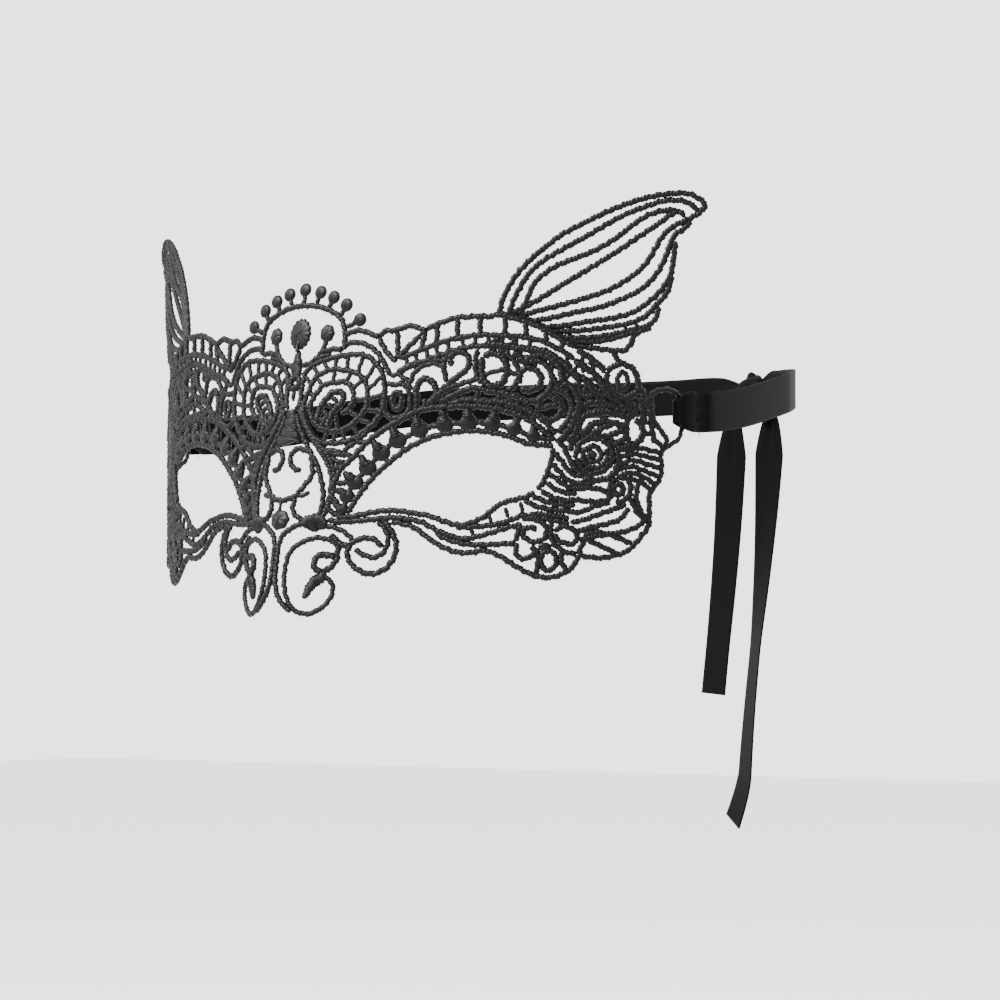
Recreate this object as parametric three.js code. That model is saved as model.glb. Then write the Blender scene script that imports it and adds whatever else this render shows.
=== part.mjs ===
// Lace masquerade mask with animal ears, tied on with satin ribbon.
// Millimetres, +Z up, the front faces -Y, the wearer's left is +X.
// The origin is the rest on the bridge of the nose, midway between the two lace knots.
//
// The lace is drawn flat in (u, v): u runs along the lace from its middle, v is the height.
// facePoint bends it round the face, and earPoint stands the ear on its own plane.
import * as THREE from "three";
import { mergeVertices } from "three/addons/utils/BufferGeometryUtils.js";
import { TessellateModifier } from "three/addons/modifiers/TessellateModifier.js";

// Driving dimensions.
const faceRadius = 125; // the lace's front curve, seen from above
const faceSetback = 7.5; // front of that curve behind the origin, without the nose ridge
const templeStart = 101; // u at which the lace turns back along the temple
const templeRadius = 28;
const templeAngle = THREE.MathUtils.degToRad(86);
const ridgeHeight = 10.7; // how far the nose ridge stands forward at v = 0
const ridgeHalfWidth = 19.2;
const ridgeFade = 64.3; // height at which the ridge has flattened out
const laceThickness = 1.5;
const cordWidth = 1.5;
const gap = 0.4; // clearance between neighbouring motifs
const longestEdge = 9; // longest triangle edge before the lace is bent

const earStart = [64, 61.4]; // u, v of the ear's inner base
const earBaseEnd = 105.3; // u at which the ear's plane meets the lace again
const earAngle = (earStart[0] + earBaseEnd) / 2 / faceRadius; // ear plane from the X axis

const ribbonWidth = 12;
const ribbonThickness = 0.8;
const foldWidth = 6.4; // ribbon gathered where it passes through the loop
const foldAt = 117; // u at which it passes through
const foldStand = (laceThickness + ribbonThickness) / 2 + 0.75; // ribbon from the loop's bar, in front and behind
const sewnAt = 126; // u of the stitching that closes the fold
const sewnStand = ribbonThickness / 2 + gap; // the same distance at the stitching
const sewnEnd = 134; // u of the ribbon's folded-back end
const ribbonLow = 33; // height of the ribbon's middle at the loop
const ribbonHigh = 48.8; // and at the knot
const headHalfWidth = 91; // the head that the ribbon lies round, an ellipse seen from above
const headHalfLength = 94;
const headMiddle = 105; // Y of its middle
const ribbonLands = THREE.MathUtils.degToRad(70); // angle from its back at which the ribbon meets it
const knotX = 36; // the knot sits to the wearer's left of the middle
const knotRadii = [8, 5, 7];
const tailTop = ribbonHigh - knotRadii[2] - 1.1; // height at which the tails leave the knot
const tailDrops = { left: 134, right: 92 };
const tailSlant = 0.08; // sideways share of a tail's drop, towards the wearer's right
const tailOffset = ribbonWidth / 2 + 1.5; // tails' middles from the knot's middle
const stitchThickness = 0.4;

// Colours.
const threadBlack = 0x232323;
const satinBlack = 0x151514;
const sewingBlack = 0x101010;

// ---------------------------------------------------------------- lace surface

// X, Y and turning angle of the front curve at arc length u >= 0.
function frontCurve(u) {
  const startAngle = templeStart / faceRadius;
  if (u <= templeStart) {
    const a = u / faceRadius;
    return [faceRadius * Math.sin(a), faceRadius * (1 - Math.cos(a)), a];
  }
  const a = Math.min(startAngle + (u - templeStart) / templeRadius, templeAngle);
  const beyond = Math.max(0, u - templeStart - templeRadius * (templeAngle - startAngle));
  const x = faceRadius * Math.sin(startAngle)
    + templeRadius * (Math.sin(a) - Math.sin(startAngle)) + beyond * Math.cos(a);
  const y = faceRadius * (1 - Math.cos(startAngle))
    + templeRadius * (Math.cos(startAngle) - Math.cos(a)) + beyond * Math.sin(a);
  return [x, y, a];
}

// The point of the lace at (u, v), h in front of its middle plane.
function facePoint(u, v, h) {
  const side = Math.sign(u) || 1;
  const [x, y, a] = frontCurve(Math.abs(u));
  const ridge = (ridgeHeight * (1 - v / ridgeFade)) / (1 + (x / ridgeHalfWidth) ** 2);
  return new THREE.Vector3(
    side * (x + h * Math.sin(a)),
    faceSetback + y - ridge - h * Math.cos(a),
    v,
  );
}

// The same for the ear of the +X side: a flat sheet that stands on the brow.
function earPoint(u, v, h) {
  const base = facePoint(...earStart, 0);
  const along = u - earStart[0];
  return new THREE.Vector3(
    base.x + along * Math.cos(earAngle) + h * Math.sin(earAngle),
    base.y + along * Math.sin(earAngle) - h * Math.cos(earAngle),
    v,
  );
}

// ---------------------------------------------------------------- flat drawing

const vectors = (points) => points.map(([x, y]) => new THREE.Vector2(x, y));
const pairs = (curvePoints) => curvePoints.map((p) => [p.x, p.y]);
const back = (line) => [...line].reverse();
const mirrored = (points) => points.map(([u, v]) => [-u, v]).reverse();

// A smooth line through a few points, as points about step apart.
function smooth(points, step = 4.5) {
  const curve = new THREE.SplineCurve(vectors(points));
  return pairs(curve.getSpacedPoints(Math.max(2, Math.round(curve.getLength() / step))));
}

// Lines joined end to end into one outline, without the doubled end points.
function chain(...lines) {
  const all = lines.flatMap((line) => line.slice(0, -1));
  const end = lines.at(-1).at(-1);
  const start = all[0];
  return Math.hypot(end[0] - start[0], end[1] - start[1]) < 0.01 ? all : [...all, end];
}

// An outline moved inwards by a distance, so that neighbours on one seam stay apart.
function inset(points, distance) {
  const turn = THREE.ShapeUtils.isClockWise(vectors(points)) ? -1 : 1;
  const corner = vectors(points);
  return corner.map((p, i) => {
    const before = corner.at(i - 1);
    const after = corner[(i + 1) % corner.length];
    const a = p.clone().sub(before).normalize();
    const b = after.clone().sub(p).normalize();
    const normal = new THREE.Vector2(-(a.y + b.y), a.x + b.x).normalize().multiplyScalar(turn);
    const share = Math.max(0.5, new THREE.Vector2(-a.y, a.x).multiplyScalar(turn).dot(normal));
    return pairs([p.clone().add(normal.multiplyScalar(distance / share))])[0];
  });
}

// A closed strip of the given width along an open line.
function strip(points, width) {
  const line = vectors(points);
  const sides = [[], []];
  line.forEach((p, i) => {
    const along = (line[i + 1] ?? p).clone().sub(line[i - 1] ?? p).normalize();
    const across = new THREE.Vector2(-along.y, along.x).multiplyScalar(width / 2);
    sides[0].push(p.clone().add(across));
    sides[1].unshift(p.clone().sub(across));
  });
  return pairs(sides.flat());
}

const oval = (u, v, ru, rv = ru, sides = 6, turn = 0) =>
  Array.from({ length: sides }, (_, i) => {
    const a = turn + (i * 2 * Math.PI) / sides;
    return [u + ru * Math.cos(a), v + rv * Math.sin(a)];
  });

// A thin slot from one point to another.
const slot = (from, to, width = 0.9) => strip([from, to], width);

// ---------------------------------------------------------------- solids

// Outlines run counterclockwise, so that the extrusion turns the holes the other way.
function shapeOf(outline, holes = []) {
  const clockwise = THREE.ShapeUtils.isClockWise(vectors(outline));
  const shape = new THREE.Shape(vectors(clockwise ? back(outline) : outline));
  shape.holes = holes.map((hole) => new THREE.Path(vectors(hole)));
  return shape;
}

// A flat lace motif, extruded and bent. side is 1 for +X and -1 for its mirror image.
function motif(outline, holes, place = facePoint, side = 1) {
  const flat = new THREE.ExtrudeGeometry(shapeOf(outline, holes), {
    depth: laceThickness,
    bevelEnabled: false,
  });
  const fine = new TessellateModifier(longestEdge, 30).modify(flat);
  const position = fine.getAttribute("position");
  for (let i = 0; i < position.count; i++) {
    const h = position.getZ(i) - laceThickness / 2;
    const p = place(position.getX(i), position.getY(i), h);
    position.setXYZ(i, side * p.x, p.y, p.z);
  }
  return closed(fine, side < 0);
}

// Merged, indexed geometry with its faces turned over if it has been mirrored.
function closed(geometry, turnOver) {
  const bare = new THREE.BufferGeometry();
  bare.setAttribute("position", geometry.getAttribute("position"));
  if (geometry.index) bare.setIndex(geometry.index);
  const merged = mergeVertices(bare, 1e-3);
  if (turnOver) merged.setIndex(Array.from(merged.index.array).reverse());
  merged.computeVertexNormals();
  return merged;
}

// A flat band swept along stations {at, across, out}: across is half its width, out half its
// thickness, both as vectors.
function band(stations) {
  const corners = stations.flatMap(({ at, across, out }) => [
    at.clone().add(across).add(out),
    at.clone().add(across).sub(out),
    at.clone().sub(across).sub(out),
    at.clone().sub(across).add(out),
  ]);
  const index = [];
  const quad = (a, b, c, d) => index.push(a, c, b, a, d, c);
  for (let s = 0; s < stations.length - 1; s++)
    for (let k = 0; k < 4; k++) {
      const next = (k + 1) % 4;
      quad(s * 4 + k, s * 4 + next, s * 4 + 4 + next, s * 4 + 4 + k);
    }
  const last = (stations.length - 1) * 4;
  quad(3, 2, 1, 0);
  quad(last, last + 1, last + 2, last + 3);
  const geometry = new THREE.BufferGeometry().setFromPoints(corners);
  geometry.setIndex(index);
  return geometry;
}

const mask = new THREE.Group();

function add(name, geometry, colour, roughness) {
  const material = new THREE.MeshStandardMaterial({ color: colour, roughness, metalness: 0 });
  const mesh = new THREE.Mesh(geometry, material);
  mesh.name = name;
  mask.add(mesh);
}

const addLace = (name, geometry) => add(name, geometry, threadBlack, 0.9);

// One motif on each side: left_NAME is the wearer's left, at +X.
function addPair(name, outline, holes = [], place = facePoint) {
  addLace("left_" + name, motif(outline, holes, place, 1));
  addLace("right_" + name, motif(outline, holes, place, -1));
}

// ---------------------------------------------------------------- seams of the lace

// Lines that two neighbouring motifs share, on the +X side.
const seam = {
  spiralTop: smooth([[16.8, 52], [22.8, 51.8], [28, 49.8], [32.3, 47]]),
  spiralRight: smooth([[32.3, 47], [31.9, 42], [31.3, 37], [30, 31.5]]),
  spiralBottom: smooth([[30, 31.5], [26.2, 27.4], [21.6, 23.4], [16, 22.3], [10.8, 23.2]]),
  spiralLeft: smooth([
    [10.8, 23.2], [7.2, 28], [4.9, 33], [3.6, 38], [3.8, 43], [6.4, 46.9], [10.9, 49.9], [16.8, 52],
  ]),
  spoke: smooth([[32.3, 47], [38.2, 52.8], [42.4, 57.3]]),
  bandBottom: smooth([
    [32.3, 47], [37, 48.9], [46, 51.8], [52, 53.6], [58, 54.3], [66, 54.2], [72, 53.4], [78, 51.4],
    [84, 49],
  ]),
  bandEnd: [[84, 49], [84.7, 51.6]],
  browBottom: smooth([
    [30, 31.5], [34, 31.8], [40, 32.8], [47.5, 34.6], [55, 35.2], [63, 34.2], [70, 32.3], [75, 29.8],
    [81, 24.6],
  ]),
  browEnd: smooth([[84, 49], [88, 45.2], [88.7, 40], [87, 33], [84.8, 27]]),
  browCorner: [[84.8, 27], [81, 24.6]],
  lashRight: smooth([[84.8, 27], [83.5, 22.5], [83.6, 19], [85.3, 14.5], [87, 10.5]]),
  lashLow: smooth([[87, 10.5], [86.5, 6], [84.5, 2]]),
  lashBottom: smooth([[84.5, 2], [78, 2.9], [72, 3.8], [69.2, 7.3]]),
  medallionBottom: smooth([[87, 10.5], [91, 10.8], [95.5, 11.5], [98.5, 14]]),
  medallionRight: smooth([[98.5, 14], [100, 18], [99.6, 23]]),
  medallionTop: smooth([[99.6, 23], [97, 27], [92, 29.5], [87.5, 29.3], [84.8, 27]]),
  fanTop: smooth([[99.6, 23], [104, 22.8], [110, 22.2]]),
  fanBottom: smooth([[98.5, 14], [101.5, 14.6], [103.5, 12.2], [108.6, 9]]),
  pendantSide: smooth([[10.8, 23.2], [13.9, 18.9], [15.8, 13.8], [15.9, 9], [14.4, 3.1]]),
  cheekLeft: smooth([
    [69.2, 7.3], [70.6, 3.6], [70.4, 0], [69.6, -4.9], [68.5, -7.5], [68.9, -10], [67.2, -11.4],
  ]),
  cheekRight: smooth([[84.5, 2], [87.4, -2.5], [87, -6], [87.4, -9.6]]),
  loopLeft: smooth([[109, 38], [107.9, 35], [107.9, 31], [109, 28.4], [109.6, 25], [110, 22.2]]),
};
// Edge of the eye opening, from its inner corner over the top to its outer corner, then below.
const eyeTop = smooth([
  [21.2, 3.7], [24.5, 9.5], [29.5, 16.4], [35, 20.6], [41, 23.8], [48, 25.6], [57, 26.1],
  [65, 25.2], [72, 23.2], [80, 23.2],
]);
const eyeSide = smooth([[80.6, 22.8], [79.4, 17], [76.6, 11.6], [72.4, 8.3], [69.2, 7.3]]);
const eyeBottom = smooth([
  [14.4, 3.1], [20.6, 2.7], [27, 4.2], [33, 4.9], [41, 4], [53, 0.8], [60, 2], [65, 5.9], [69.2, 7.3],
]);

const cell = (...lines) => inset(chain(...lines), gap / 2);

// ---------------------------------------------------------------- crest and centre

const stalkWidth = 1.2;

// A round motif with a stalk that ends at foot: the points from one side of the foot round the
// head to the other side.
function onStalk(centre, foot, radius, petals = 0, steps = 10) {
  const toFoot = Math.atan2(foot[1] - centre[1], foot[0] - centre[0]);
  const half = Math.asin(stalkWidth / 2 / radius);
  const head = Array.from({ length: steps }, (_, i) => {
    const a = half + ((2 * Math.PI - 2 * half) * i) / (steps - 1);
    const r = radius * (1 + (petals ? 0.1 * Math.cos(petals * a) : 0));
    return [centre[0] + r * Math.cos(toFoot + a), centre[1] + r * Math.sin(toFoot + a)];
  });
  const aside = [(-Math.sin(toFoot) * stalkWidth) / 2, (Math.cos(toFoot) * stalkWidth) / 2];
  return [
    [foot[0] + aside[0], foot[1] + aside[1]],
    ...head,
    [foot[0] - aside[0], foot[1] - aside[1]],
  ];
}

// Arch over the crest flower, with nine round beads standing on it.
function addCrestArch() {
  const beadRadius = 2.1;
  const right = [
    [[20.8, 60.6], [16.9, 58.8]],
    [[15.9, 65.2], [14.4, 62.1]],
    [[11.1, 67.7], [9.8, 64.9]],
    [[6.1, 69.4], [5, 66.2]],
  ].map(([centre, foot]) => onStalk(centre, foot, beadRadius, 0, 9));
  const middle = onStalk([0, 70.4], [0, 66.7], beadRadius, 0, 9);
  const left = right.map(mirrored).reverse();
  const feet = [[16.9, 52.9]];
  const inner = smooth([[15.4, 52.9], [15.2, 56.6], [13.2, 60.3], [9.7, 62.9], [5, 64.3], [0, 64.8]]);
  const outline = chain(
    feet.concat(...right, middle, ...left, mirrored(feet)),
    mirrored(inner).reverse(),
    back(inner),
  );
  addLace("crest_arch", motif(outline, []));
}

function addCrestFlower() {
  addLace("crest_flower", motif(onStalk([0, 57], [0, 52.3], 4.2, 9, 28), []));
  addPair("crest_bud", onStalk([10, 57], [9.6, 51.2], 2.4, 5, 16));
}

// Narrow stem from the flower down to the wedge between the two halves of the pendant.
function addStem() {
  const half = [
    [0.8, 51.9], [2, 48.6], [2.2, 46], [3, 43.6], [2.8, 40.6], [3, 37], [1.6, 34.4], [1.5, 32.6],
    [2.6, 28.8], [4.3, 25.4], [0, 23.9],
  ];
  const window = [[1.7, 39.9], [1.9, 37.2], [0, 36], [-1.9, 37.2], [-1.7, 39.9]];
  addLace("centre_stem", motif([...half, ...mirrored(half).slice(1)], [window]));
}

// Pear-shaped pendant over the bridge of the nose.
function addPendant() {
  const outer = smooth([
    [2.7, 34.6], [4.6, 31], [7, 27], [10.3, 22.8], [13.4, 18.4], [15.1, 13.6], [15.2, 9], [13.9, 4],
    [12.9, 2],
  ]);
  const inner = smooth([[11.6, 2], [8.5, 3], [6.2, 5], [3, 6.3], [0, 6.2]]);
  const notch = [[2.1, 33.8], [3.1, 29.2], [4.8, 24.6]]; // round the stem's wedge
  const half = chain(outer, inner);
  const outline = [
    ...half.slice(0, -1), ...mirrored(half), ...back(mirrored(notch)), [0, 23.3], ...back(notch),
  ];
  const side = smooth([[8.3, 22.2], [10.6, 18.5], [12, 13.5], [11.9, 9.6], [9.8, 10.6], [9.9, 16], [8.3, 22.2]]);
  const belly = [[0, 16.4], [4, 15.2], [7.2, 13.6], [4.4, 10], [0, 8.9]];
  const holes = [side, mirrored(side), [...belly, ...mirrored(belly.slice(1, -1))]];
  addLace("nose_pendant", motif(outline, holes));
}

function addPendantFlower() {
  addLace("pendant_flower", motif(onStalk([0, 1.9], [0, 5.6], 3.2, 7, 24), []));
  addPair("pendant_knot", oval(11, -0.3, 3.2, 1.7, 10));
}

// ---------------------------------------------------------------- motifs of each side

function addForehead() {
  const channel = smooth([
    [7.3, 30], [8, 34], [9.5, 38], [12, 40.3], [15.5, 41], [18, 40], [18.8, 37.5], [17.5, 35.5],
  ], 3);
  const holes = [
    strip(channel, 1.3),
    slot([8.6, 45.4], [12.2, 47], 1.2),
    slot([15.2, 47.4], [20, 47.4], 1.2),
    slot([24.4, 45.4], [26.3, 41.5], 1.2),
    slot([27.2, 36.6], [26.2, 32.8], 1.2),
    slot([24.2, 30], [21.2, 27.6], 1.2),
  ];
  const outline = cell(seam.spiralTop, seam.spiralRight, seam.spiralBottom, seam.spiralLeft);
  addPair("forehead_spiral", outline, holes);
}

function addScallops() {
  const top = smooth([
    [42.4, 57.3], [37.2, 58.7], [32.8, 57.6], [27.4, 56.3], [22, 57.8], [17.6, 57.2],
  ]);
  const outline = cell(seam.spiralTop, seam.spoke, top, [[17.6, 57.2], [17.5, 52.6], [16.8, 52]]);
  const holes = [
    [[19.5, 53.4], [23.6, 53], [23.4, 56], [19.6, 56.2]],
    [[27.6, 51.8], [31.6, 49.4], [31.4, 55.8], [27.2, 54.6]],
    [[34.4, 51.2], [38.6, 55.4], [37.4, 56.8], [34.2, 56]],
  ];
  addPair("top_scallops", outline, holes);
}

function addLadder() {
  const top = smooth([
    [84.7, 51.6], [80, 54.8], [73, 58], [63.5, 60.4], [58.5, 61], [51.5, 60.7], [48, 59.8], [42.4, 57.3],
  ]);
  const outline = cell(seam.bandBottom, seam.bandEnd, top, back(seam.spoke));
  const window = (u, low, high) => [[u, low], [u + 4.6, low], [u + 4.6, high], [u, high]];
  const holes = [window(46.5, 54.6, 57.9), window(53, 55.8, 58.9), window(59.8, 56.4, 59)];
  holes.push(slot([67.4, 56.4], [72.6, 55.6], 1.2), slot([75.6, 54.6], [80, 52.8], 1.2));
  addPair("ladder_band", outline, holes);
}

function addBrow() {
  const outline = cell(
    seam.bandBottom, seam.browEnd, seam.browCorner, back(seam.browBottom), back(seam.spiralRight),
  );
  const holes = [
    oval(34.3, 36.2, 1.5, 2.6),
    oval(43.7, 44.3, 2.2, 1.4),
    strip(smooth([[43, 38.2], [45.6, 36.6], [49.6, 40.8], [53.6, 45.2]], 4), 1),
    oval(51.6, 48.8, 1.6, 1),
    oval(61.4, 46.4, 2, 1.5),
    oval(62.6, 43.1, 2, 1.2),
    oval(73.3, 41.5, 2.8, 2.1, 8),
    oval(78.5, 33.5, 2.8, 2.6, 8),
    slot([70.6, 49.4], [77, 47.6], 1.2),
    slot([79.6, 46.6], [84.4, 43], 1.2),
    slot([66.6, 38.2], [72.6, 36.2], 1.1),
  ];
  addPair("brow_scrolls", outline, holes);
}

// Band round the upper side of the eye opening, pierced by a row of small triangles.
function addEyeRim() {
  const outline = cell(
    seam.pendantSide, [[14.4, 3.1], [21.2, 3.7]], eyeTop, [[80, 23.2], [81, 24.6]],
    back(seam.browBottom), seam.spiralBottom,
  );
  const triangles = [
    [18.4, 11.8], [21.6, 17.4], [29.8, 25.6], [36.2, 28.8], [44, 30.8], [51.5, 31.9], [59, 31.6],
    [66.4, 30.3], [72.6, 28.2],
  ];
  addPair("eye_rim", outline, triangles.map(([u, v]) => oval(u, v, 1.5, 1.5, 3, Math.PI / 2)));
}

function addUnderEye() {
  const bottom = smooth([
    [67.2, -11.4], [63, -9.3], [57, -9.1], [51.5, -8.6], [46, -6.1], [40.5, -2], [35, -0.2],
    [25, 0.2], [15.6, 1],
  ]);
  const outline = cell(eyeBottom, seam.cheekLeft, bottom, [[15.6, 1], [14.4, 3.1]]);
  const holes = [
    strip(smooth([[44, 1.3], [48.5, -0.9], [53, -2.3], [58, -2.1], [64, -0.9]]), 1.5),
    strip(smooth([[50, -3.9], [55, -5], [60, -4.9], [65, -3.9]]), 0.9),
    strip(smooth([[49, -5.6], [53, -6.8], [57, -7.1], [62, -7]]), 1.1),
    oval(64.7, 2.4, 1.4, 1.2, 4),
  ];
  addPair("under_eye_strands", outline, holes);
}

function addLashes() {
  const outline = cell(
    eyeSide, back(seam.lashBottom), back(seam.lashLow), back(seam.lashRight), seam.browCorner,
  );
  const holes = [
    slot([82, 16.4], [84.4, 13.4]),
    slot([80.2, 13.6], [85.4, 10.9]),
    slot([78, 10.2], [84.6, 8.1]),
    slot([75, 7], [83.6, 5.1]),
  ];
  addPair("lash_ribs", outline, holes);
}

function addMedallion() {
  const outline = cell(
    seam.lashRight, seam.medallionBottom, seam.medallionRight, seam.medallionTop,
  );
  const turns = Array.from({ length: 12 }, (_, i) => {
    const a = (i * Math.PI) / 6;
    const r = 1.3 + i * 0.28;
    return [91.5 + r * Math.cos(a), 19.8 + r * Math.sin(a)];
  });
  addPair("temple_medallion", outline, [strip(turns, 0.9), slot([89.5, 26], [93.4, 27.9], 0.8)]);
}

function addTempleScrolls() {
  const top = smooth([
    [109, 38], [105.6, 40.3], [103.6, 45.6], [100.2, 47.1], [95.8, 45.2], [91, 48.2], [84.7, 51.6],
  ]);
  const outline = cell(
    back(seam.medallionTop), seam.fanTop, back(seam.loopLeft), top, back(seam.bandEnd),
    seam.browEnd,
  );
  const holes = [
    oval(99.8, 41.6, 2.6, 2.9, 8),
    oval(103, 27, 1.6, 1.6, 6),
    oval(103, 35.6, 1.8, 2.4, 6),
    slot([90.6, 46.2], [94.4, 42.4], 1),
    slot([91.4, 31], [99, 30.6], 1),
  ];
  addPair("temple_scrolls", outline, holes);
}

function addFan() {
  const outer = smooth([[110, 22.2], [112.6, 18.4], [112, 13.6], [109.8, 10.4], [108.6, 9]]);
  const outline = cell(seam.fanTop, outer, back(seam.fanBottom), seam.medallionRight);
  const holes = [
    slot([103.6, 19.4], [109, 17.8]),
    slot([102.5, 17], [109.4, 15.2]),
    slot([104.4, 13.8], [107.6, 12.6]),
  ];
  addPair("rib_fan", outline, holes);
}

function addPetals() {
  const outer = smooth([
    [87.4, -9.6], [94, -10.5], [101.4, -8.6], [105.6, -4.4], [108.6, 0.4], [108.7, 5], [108.6, 9],
  ]);
  const outline = cell(
    seam.lashLow, seam.cheekRight, outer, back(seam.fanBottom), back(seam.medallionBottom),
  );
  const holes = [
    slot([88.4, 8.4], [94.5, 7.4], 1.4),
    slot([88, 2.5], [96, 4.7], 1),
    slot([94.6, 0.8], [100, 3.4], 1),
    slot([97.8, -1.3], [105.4, 1.8], 1.2),
    [[88.6, -7.6], [90.6, -4.6], [95.6, -7.6]],
  ];
  addPair("cheek_petals", outline, holes);
}

function addCheekCurls() {
  const bottom = smooth([
    [67.2, -11.4], [73.5, -15], [79, -16.3], [85.4, -13.8], [87.4, -9.6],
  ]);
  const outline = cell(seam.lashBottom, seam.cheekLeft, bottom, back(seam.cheekRight));
  const holes = [
    oval(74.8, -1.8, 2.2, 1.9),
    oval(72.2, -7.3, 1.6, 1.6, 5),
    oval(83.8, -3.4, 2.1, 1.6),
    oval(78.7, -10.4, 1.7, 2.2),
  ];
  addPair("cheek_curls", outline, holes);
}

// C-shaped scroll beside the nose.
function addNoseScroll() {
  const outline = smooth([
    [15.2, -2.8], [8.4, -2.2], [4.4, -0.6], [1.3, -2.2], [0.4, -6], [0.3, -13], [1, -18.4], [3.4, -23],
    [7.4, -26.3], [11, -26.9], [15.6, -24.8], [18.2, -20.4], [18, -15.8], [17.6, -13.6], [18.8, -9],
    [17.6, -4.6], [15.2, -2.8],
  ], 3.5).slice(0, -1);
  const wall = smooth([[7, -3.6], [4, -5.5], [2.5, -9], [2.4, -14], [3.6, -19.5]], 4);
  const heart = smooth([
    [14.6, -5.4], [9.6, -6.3], [6.4, -9.2], [5.5, -14], [6.3, -19.4], [8, -21.8], [8.6, -16.6],
    [11.6, -13], [12.4, -8.9], [14.6, -5.4],
  ], 3.5).slice(0, -1);
  const foot = [[11.2, -21.6], [13.6, -18.4], [16, -17.2], [15.8, -21], [13.4, -24], [9.8, -24]];
  addPair("nose_scroll", outline, [strip(wall, 1.3), heart, foot, oval(14.9, -10.6, 1.4, 1.6, 6)]);
}

// Curl under the inner corner of the eye, with the strand that carries it.
function addSideCurl() {
  const strand = [[15.1, 0.4], [15.1, -0.9], [19, -1.5], [21, -3], [20, -4.6]];
  const loop = smooth([
    [20, -4.6], [19.6, -8], [21.4, -11.9], [25.6, -14.7], [29.6, -14.7], [33.4, -12.2], [35.6, -8],
    [35.2, -3.8], [32.6, -0.8],
  ]);
  const inside = smooth([[29.3, -0.8], [31, -3], [31, -5.6]], 3);
  const bar = smooth([[31, -5.6], [28.4, -3.6], [24, -2.7], [20.6, -0.6], [15.1, 0.4]], 3);
  const holes = [
    [[23.6, -5.2], [26.4, -4.9], [30, -7.4], [27.8, -8.2], [23.4, -6.4]],
    [[22.8, -10.4], [24.4, -9.6], [28.5, -10.9], [33, -8.6], [31.6, -11.6], [28.4, -12.9], [25.6, -12.6]],
  ];
  addPair("side_curl", chain(strand, loop, inside, bar), holes);
}

function addEar() {
  const rim = smooth([
    [64.4, 62.6], [67.2, 70], [70.3, 74.6], [76.6, 80.6], [82, 84.4], [94, 90.7], [106, 95.2],
    [118, 96.8], [122, 95.6], [124, 93],
  ], 6);
  const side = smooth([
    [124, 93], [121.8, 89.6], [117.6, 85.6], [115.6, 80], [114.4, 71], [110.6, 63], [108.8, 56.4],
    [104.6, 54.4], [102.6, 51], [99.8, 49.6],
  ], 6);
  const base = smooth([
    [99.8, 49.6], [92, 50.5], [86.4, 53], [80, 56.6], [73, 59.8], [64.4, 62.6],
  ], 6);
  const holes = [
    [[69, 65.4], [72.4, 64.7], [86, 72.8], [102, 84.2], [86, 75.8], [74, 71.6]],
    [[75, 63.2], [88, 66.7], [101, 72.6], [109.6, 84], [98, 77.2], [84, 69.2]],
    [[82, 58.6], [97, 61.2], [106, 66], [112.4, 77], [103, 68.4], [93, 63.8]],
    strip(smooth([[84, 83.4], [94, 88.2], [106, 92.9], [115, 94.4]], 6), 0.9),
    slot([88, 55], [102, 57.6], 0.9),
  ];
  addPair("ear", chain(rim, side, base), holes, earPoint);
}

function addTempleLoop() {
  const outer = smooth([
    [109.6, 38.3], [113.2, 40], [117.4, 39.3], [120.2, 37.4], [120.7, 34], [120.6, 29.4], [119.8, 25.8],
    [116.8, 22.9], [112.8, 21.8], [110.6, 22.3],
  ]);
  const outline = inset(chain(outer, back(seam.loopLeft)), gap / 2);
  const opening = smooth([
    [110, 36.2], [113, 37.8], [117, 37.6], [119, 36], [119.2, 32.6], [119, 28.6], [117.6, 25.6],
    [114.6, 24.4], [111.6, 25.6], [109.6, 30.4], [110, 36.2],
  ], 3).slice(0, -1);
  addPair("temple_loop", outline, [opening]);
}

// ---------------------------------------------------------------- ribbon

const up = new THREE.Vector3(0, 0, 1);

// A point of the ellipse that the ribbon lies round, at the given X, behind its middle.
const headY = (x) => headMiddle + headHalfLength * Math.sqrt(1 - (x / headHalfWidth) ** 2);

// Height of the ribbon's middle line, rising from the loop to the knot.
function ribbonMiddle(y) {
  const loopY = facePoint(foldAt, ribbonLow, 0).y;
  const knotY = headY(knotX);
  return THREE.MathUtils.lerp(ribbonLow, ribbonHigh, THREE.MathUtils.smoothstep(y, loopY, knotY));
}

// The ribbon's middle line on one side, from its sewn-back end, through the loop and round the
// head to the knot. end is the signed distance of the knot's side from X = 0 on this side.
function ribbonPath(end) {
  const nearLoop = [
    [sewnEnd, -sewnStand], [sewnAt, -sewnStand], [122, -foldStand], [foldAt + 1.8, -foldStand],
    [foldAt + 0.4, -0.7 * foldStand], [foldAt, 0], [foldAt + 0.4, 0.7 * foldStand],
    [foldAt + 1.8, foldStand], [122, foldStand], [sewnAt, sewnStand + 0.2], [sewnEnd, sewnStand],
  ].map(([u, h]) => facePoint(u, ribbonLow, h));
  const landing = headHalfWidth * Math.sin(ribbonLands);
  const toHead = new THREE.QuadraticBezierCurve3(
    facePoint(sewnEnd, ribbonLow, sewnStand),
    new THREE.Vector3(headHalfWidth + 4, headMiddle, 0),
    new THREE.Vector3(landing, headY(landing), 0),
  );
  const round = [1 / 3, 2 / 3].map((t) => toHead.getPoint(t));
  const steps = 9;
  for (let i = 0; i <= steps; i++) {
    const a = THREE.MathUtils.lerp(ribbonLands, Math.asin(end / headHalfWidth), i / steps);
    const x = headHalfWidth * Math.sin(a);
    round.push(new THREE.Vector3(x, headY(x), 0));
  }
  round.forEach((p) => p.setZ(ribbonMiddle(p.y)));
  return [...nearLoop, ...round];
}

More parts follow.
